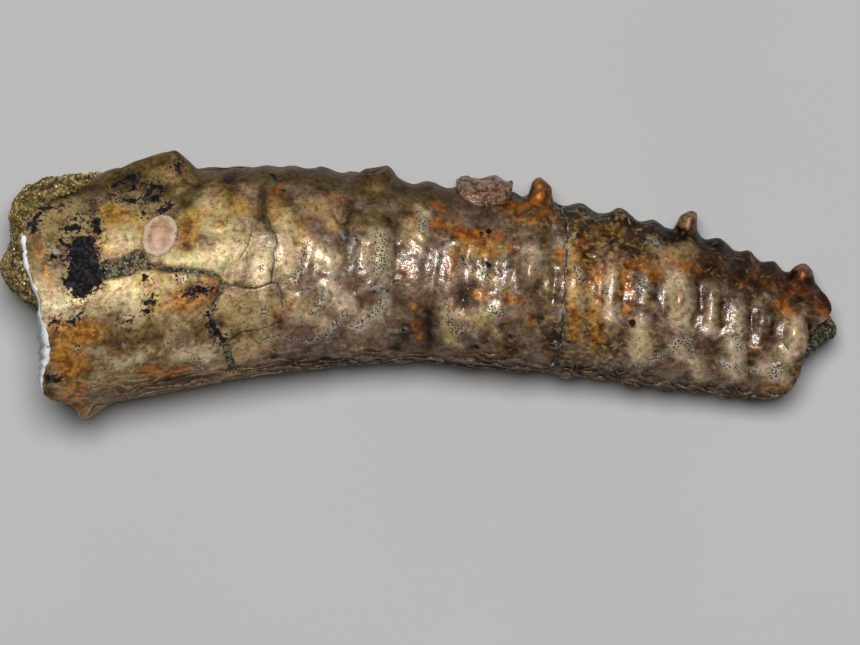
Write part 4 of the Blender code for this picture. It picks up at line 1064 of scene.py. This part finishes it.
def grain_tree():
    """Geometry Nodes that scatter angular grains over bare rock, each with a tone of its own."""
    tree = bpy.data.node_groups.new("scattered_grains", "GeometryNodeTree")
    tree.interface.new_socket("Rock", in_out="INPUT", socket_type="NodeSocketGeometry")
    for title, kind in (("Density", "NodeSocketFloat"), ("Smallest", "NodeSocketFloat"),
                        ("Largest", "NodeSocketFloat"), ("Material", "NodeSocketMaterial")):
        tree.interface.new_socket(title, in_out="INPUT", socket_type=kind)
    tree.interface.new_socket("Grains", in_out="OUTPUT", socket_type="NodeSocketGeometry")
    given = tree.nodes.new("NodeGroupInput").outputs
    bare = add_node(tree, "GeometryNodeInputNamedAttribute", {"data_type": "FLOAT"}, {"Name": "bare"})
    dense = add_node(
        tree, "ShaderNodeMath", {"operation": "MULTIPLY"}, {0: bare.outputs["Attribute"], 1: given["Density"]}
    )
    points = add_node(
        tree, "GeometryNodeDistributePointsOnFaces", {},
        {"Mesh": given["Rock"], "Density": dense.outputs[0], "Seed": 5},
    )
    smallest = add_node(tree, "ShaderNodeCombineXYZ", {}, {i: given["Smallest"] for i in range(3)})
    largest = add_node(tree, "ShaderNodeCombineXYZ", {}, {i: given["Largest"] for i in range(3)})
    vector = {"data_type": "FLOAT_VECTOR"}
    sizes = {0: smallest.outputs[0], 1: largest.outputs[0], "Seed": 6}
    size = add_node(tree, "FunctionNodeRandomValue", vector, sizes)
    turns = {0: (0, 0, 0), 1: (math.tau,) * 3, "Seed": 7}
    turned = add_node(tree, "FunctionNodeRandomValue", vector, turns)
    grain = add_node(tree, "GeometryNodeMeshIcoSphere", {}, {"Radius": 1.0, "Subdivisions": 1})
    placed = add_node(tree, "GeometryNodeInstanceOnPoints", {}, {
        "Points": points.outputs["Points"], "Instance": grain.outputs["Mesh"],
        "Rotation": turned.outputs[0], "Scale": size.outputs[0],
    })
    tone = add_node(tree, "FunctionNodeRandomValue", {"data_type": "FLOAT"}, {"Seed": 8})
    toned = add_node(
        tree, "GeometryNodeStoreNamedAttribute", {"data_type": "FLOAT", "domain": "INSTANCE"},
        {"Geometry": placed.outputs[0], "Name": "tone", "Value": tone.outputs[1]},
    )
    real = add_node(tree, "GeometryNodeRealizeInstances", {}, {0: toned.outputs[0]})
    painted = add_node(
        tree, "GeometryNodeSetMaterial", {}, {"Geometry": real.outputs[0], "Material": given["Material"]}
    )
    tree.links.new(painted.outputs[0], tree.nodes.new("NodeGroupOutput").inputs[0])
    return tree


GRAIN_TREE = grain_tree()


def grains_on(name, rock, per_square_millimetre, smallest, largest, material):
    """Grains over a piece of rock, as a plain mesh of their own."""
    carrier = bpy.data.objects.new(name + "_carrier", rock.data)
    bpy.context.scene.collection.objects.link(carrier)
    modifier = carrier.modifiers.new("grains", "NODES")
    modifier.node_group = GRAIN_TREE
    given = {
        "Density": per_square_millimetre / METRES**2, "Smallest": smallest * METRES,
        "Largest": largest * METRES, "Material": material,
    }
    for socket in GRAIN_TREE.interface.items_tree:
        if socket.name in given:
            modifier[socket.identifier] = given[socket.name]
    evaluated = carrier.evaluated_get(bpy.context.evaluated_depsgraph_get())
    mesh = bpy.data.meshes.new_from_object(evaluated)
    bpy.data.objects.remove(carrier)
    grains = bpy.data.objects.new(name, mesh)
    bpy.context.scene.collection.objects.link(grains)
    return grains


turn = np.linspace(0, 2 * np.pi, 300, endpoint=False)
degrees = np.degrees(turn)
lump = smooth_step((np.sin(turn) - LUMP_SIDES[0]) / (LUMP_SIDES[1] - LUMP_SIDES[0]))
overhang = smooth_step((degrees - OVERHANG_FROM) / OVERHANG_BLEND)
overhang = overhang * smooth_step((OVERHANG_TO - degrees) / OVERHANG_BLEND)
rise = overhang * (SHELL_WALL + LUMP_OVERHANG)
rim = on_rib_line(around_tube(MOUTH_RIM, turn), turn)
start = (rim - LUMP_START) * lump + (rim + HOLLOW_DEPTH) * (1 - lump)
rings, bare = [], []
# The open face, from its middle out: rounded where it is a lump, plain where it is hollow.
for share in np.linspace(0.99, 0, 64):
    side = min(share, 0.7)
    fraction = (1 - side) * (1 - lump) + math.cos(side * math.pi / 2) ** 0.5 * lump
    fraction = fraction * min((1 - share) / 0.3, 1)
    reach = math.sin(min(share / 0.6, 1) * math.pi / 2)
    face = on_face(MOUTH_FACE, rim, turn, fraction, FACE_ROUNDING * lump)
    bulge = LUMP_BULGE * overhang * math.sin(min(share * 1.3, 1) * math.pi)
    above = rise * (1 - share) + bulge - SHELL_WALL + ROCK_INSET
    rings.append(tube_points(start + (face - start) * reach, turn, above, fraction))
    bare.append(np.ones_like(turn))
# Past the shell's edge the overhang comes down to the shell's outside, and the rock runs on within.
for share in np.linspace(0.12, 1, 8):
    back = start + LUMP_START * lump + OVERHANG_REACH * share * overhang
    above = rise * math.cos(share * math.pi / 2) - SHELL_WALL + ROCK_INSET
    rings.append(tube_points(back, turn, above))
    bare.append(overhang)
inner_end = on_rib_line(around_tube(MIDDLE_BREAK, turn) - HALF_GAP, turn)
for share in np.linspace(0.1, 1, 12):
    rings.append(tube_points(back + (inner_end - back) * share, turn, ROCK_INSET - SHELL_WALL))
    bare.append(np.zeros_like(turn))
rings, bare = np.array(rings), np.array(bare)
rings = roughened(rings, bare, (0.45, 2.6, 51), (0.40, 1.2, 52), (0.18, 0.5, 53))
mouth_sand = sand(
    "mouth_sand", (0.046, 0.030, 0.010), (0.200, 0.135, 0.030), (0.56, 0.41, 0.14), (0.13, 0.120, 0.036)
)
wide_rock = closed_rings("wide_rock_body", rings, mouth_sand, {"bare": bare, "tone": bare * 0.35})
mouth_grains = grains_on(
    "mouth_grains", wide_rock, per_square_millimetre=13.0, smallest=0.09, largest=0.26, material=mouth_sand
)
for piece in (wide_rock, mouth_grains):
    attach(piece, "root")
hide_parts("wide_rock")

# ---------------------------------------------------------------------------------------------
# NARROW ROCK. The same sand, greener and darker, that fills the narrow length and shows as a
# slanting, grainy face at the broken tip.

TIP_ROCK_BACK = 0.2
TIP_ROUNDING = 0.9
TIP_FACE = np.array([(-7.0, 37.4), (-3.5, 41.0), (0.0, 44.1), (2.6, 45.4), (4.6, 43.8), (7.0, 41.4)])
near = on_rib_line(around_tube(MIDDLE_BREAK, turn) + HALF_GAP, turn)
far = on_rib_line(around_tube(TIP_RIM, turn), turn) - TIP_ROCK_BACK
rings, bare = [], []
for share in np.linspace(0, 1, 12):
    rings.append(tube_points(near + (far - near) * share, turn, ROCK_INSET - SHELL_WALL))
    bare.append(np.full_like(turn, float(share == 1) * 0.3))
for fraction in np.linspace(0.97, 0.02, 26):
    face = on_face(TIP_FACE, far, turn, fraction, -TIP_ROUNDING)
    rings.append(tube_points(face, turn, ROCK_INSET - SHELL_WALL, fraction))
    bare.append(np.ones_like(turn))
rings, bare = np.array(rings), np.array(bare)
rings = roughened(rings, bare, (0.25, 1.8, 61), (0.2, 0.8, 62), (0.14, 0.4, 63))
tip_sand = sand(
    "tip_sand", (0.010, 0.008, 0.004), (0.040, 0.034, 0.014), (0.22, 0.20, 0.12), (0.026, 0.035, 0.018)
)
narrow_rock = closed_rings("narrow_rock_body", rings, tip_sand, {"bare": bare, "tone": bare * 0.3})
tip_grains = grains_on(
    "tip_grains", narrow_rock, per_square_millimetre=16.0, smallest=0.09, largest=0.22, material=tip_sand
)
for piece in (narrow_rock, tip_grains):
    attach(piece, "root")
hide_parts("narrow_rock")

# ---------------------------------------------------------------------------------------------
# STUCK FLAKE. A thick flake of another, coarser shell, bedded on the spiny side: thin layers of
# pinkish brown shell lie over each other like steps.

FLAKE_PLACE, FLAKE_LENGTH = 6.0, 6.3
FLAKE_MIDDLE, FLAKE_HALF_TURN = 82.0, 27.0  # degrees
FLAKE_LAYER, FLAKE_BEDDING, FLAKE_LEAST = 0.24, 0.2, 0.12  # a layer, the depth it is bedded, the rim
share = np.linspace(-0.97, 0.97, 110)[:, None]
across = np.linspace(-1, 1, 90)[None, :]
narrowing = np.sqrt(1 - share**2) ** 0.75
flake_turn = np.radians(FLAKE_MIDDLE + across * narrowing * FLAKE_HALF_TURN)
place = np.broadcast_to(FLAKE_PLACE + share * FLAKE_LENGTH / 2, flake_turn.shape)
ground = tube_points(place, flake_turn)
dome = 0.3 + 1.15 * np.sqrt(1 - across**2) * narrowing**0.6 * (1 + 0.32 * share)
dome = dome + waves(ground, (0.16, 1.5, 71), (0.08, 0.6, 72))
layer = (dome + 0.25 * across + waves(ground, (0.10, 1.2, 73))) / FLAKE_LAYER
stepped = dome + 0.13 * ((layer % 1) ** 2.5 - 0.3) + waves(ground, (0.03, 0.3, 74))
base_relief = relief(place, flake_turn)
top = tube_points(place, flake_turn, base_relief + np.maximum(stepped, FLAKE_LEAST))
under = tube_points(place, flake_turn, base_relief - FLAKE_BEDDING)
rings = np.concatenate([top, under[:, ::-1]], axis=1)
tones = np.concatenate([layer, layer[:, ::-1]], axis=1)
shaded_sides = np.concatenate([np.broadcast_to(across, layer.shape), np.ones_like(layer)], axis=1)
p = Paint("flake_shell")
layer_seam = p.math("FRACT", p.attribute("layers"))
mottle, speckle = p.noise(0.9, 4, 21.0, 0.5), p.noise(0.25, 3, 22.0)
colour = p.mix(p.step(mottle, 0.40, 0.62), (0.095, 0.043, 0.022), (0.29, 0.145, 0.085))
colour = p.mix(p.step(speckle, 0.54, 0.64) * 0.8, colour, (0.50, 0.32, 0.21))
# Each layer is darker low in its step, as painted shade, and paler at its crest, partly a painted glint.
colour = p.tint(p.step(layer_seam, 0.7, 0.1) * 0.7, colour, (0.40, 0.33, 0.30))
crests = p.step(layer_seam, 0.82, 0.96) * p.step(mottle, 0.4, 0.6)
colour = p.mix(crests * 0.7, colour, (0.55, 0.37, 0.22))
# Painted shade on the part of the flake's top that turns away from the light, and on its underside.
colour = p.tint(p.step(p.attribute("side"), 0.25, 0.8), colour, (0.30, 0.25, 0.22))
colour = p.mix(p.step(p.cells(0.7, 5.0), 0.16, 0.10), colour, (0.012, 0.008, 0.006))
flake_paint = p.finish(
    Base_Color=colour, Roughness=0.35 + speckle * 0.2, Normal=p.bump(speckle + mottle, 0.10), IOR=1.35,
    Coat_Weight=p.step(mottle, 0.3, 0.7) * 0.8, Coat_Roughness=0.12,
)
flake = closed_rings("stuck_shell_flake_body", rings, flake_paint, {"layers": tones, "side": shaded_sides})
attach(flake, "root")
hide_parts("stuck_shell_flake")

# ---------------------------------------------------------------------------------------------
# GLUE BEAD. A thin, uneven bead of silvery glue in the old break, where the two lengths of the
# shell were set back together.

around = np.linspace(0, 2 * np.pi, 900, endpoint=False)
middle = broken_rim(MIDDLE_BREAK, around, *BREAK_WAVES)
thickness = np.maximum(0.10 + waves(circle(around), (0.09, 1.9, 81), (0.06, 0.5, 82)), 0.03)
rings = []
for angle in np.linspace(0, 2 * np.pi, 10, endpoint=False):
    beside = on_rib_line(middle + thickness * math.cos(angle), around)
    height = relief(beside, around) + thickness * (math.sin(angle) * 0.8 + 0.1)
    rings.append(tube_points(beside, around, height))
p = Paint("silvery_glue")
glint, dirt = p.noise(0.3, 3, 31.0), p.noise(1.4, 4, 32.0)
colour = p.mix(p.step(glint, 0.4, 0.65), (0.10, 0.105, 0.095), (0.42, 0.45, 0.43))
colour = p.mix(p.step(dirt, 0.45, 0.53), colour, (0.050, 0.034, 0.018))
glue_paint = p.finish(Base_Color=colour, Roughness=0.35 + glint * 0.3, Normal=p.bump(glint, 0.08), IOR=1.4)
bead_faces = [face[::-1] for face in loop_faces(len(rings), len(around), True)]
glue_bead = mesh_piece("glue_bead", np.array(rings).reshape(-1, 3), bead_faces, glue_paint)
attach(glue_bead, "root")

# ---------------------------------------------------------------------------------------------
# STAGE. A plain pale table, one big soft light straight above, and the camera that looks straight
# down on the upper flank from far away, as the photo does.

FLOOR_HALF = 1.5  # metres
corners = [(x * FLOOR_HALF, y * FLOOR_HALF, 0) for x, y in ((-1, -1), (1, -1), (1, 1), (-1, 1))]
floor_mesh = bpy.data.meshes.new("floor")
floor_mesh.from_pydata(corners, [], [(0, 1, 2, 3)])
floor = bpy.data.objects.new("floor", floor_mesh)
bpy.context.scene.collection.objects.link(floor)
p = Paint("pale_table")
shade = p.noise(40, 2, 3.0) * 0.03 + 0.5
grey = p.node("ShaderNodeCombineColor", {}, {"Red": shade, "Green": shade, "Blue": shade})
floor_mesh.materials.append(p.finish(Base_Color=grey, Roughness=0.9))

PHOTO_WIDTH, MILLIMETRES_A_PIXEL = 860, 0.11
VIEW_CENTRE = Vector((1.21, -4.345, 10.0)) * METRES  # the point in the middle of the photo
VIEW_DISTANCE = 3.0  # metres
SENSOR_WIDTH = 36
camera_data = bpy.data.cameras.new("camera")
camera_data.sensor_width = SENSOR_WIDTH
camera_data.lens = SENSOR_WIDTH * VIEW_DISTANCE / (PHOTO_WIDTH * MILLIMETRES_A_PIXEL * METRES)
camera_data.clip_end = 20
camera = bpy.data.objects.new("camera", camera_data)
camera.location = VIEW_CENTRE + Vector((0, 0, VIEW_DISTANCE))
bpy.context.scene.collection.objects.link(camera)
bpy.context.scene.camera = camera

LIGHT_PLACE = Vector((0.0, 0.17, 1.0)).normalized() * 4.0  # metres
softbox = bpy.data.lights.new("overhead_softbox", "AREA")
softbox.shape, softbox.size, softbox.energy = "DISK", 1.5, 150
lamp = bpy.data.objects.new("overhead_softbox", softbox)
lamp.matrix_world = (
    Matrix.Translation(LIGHT_PLACE) @ LIGHT_PLACE.to_track_quat("Z", "Y").to_matrix().to_4x4()
)
bpy.context.scene.collection.objects.link(lamp)
world = bpy.data.worlds.new("studio")
world.use_nodes = True
background = world.node_tree.nodes["Background"].inputs
background["Color"].default_value = (1, 1, 1, 1)
background["Strength"].default_value = 0.03
bpy.context.scene.world = world
bpy.context.scene.view_settings.view_transform = "Standard"
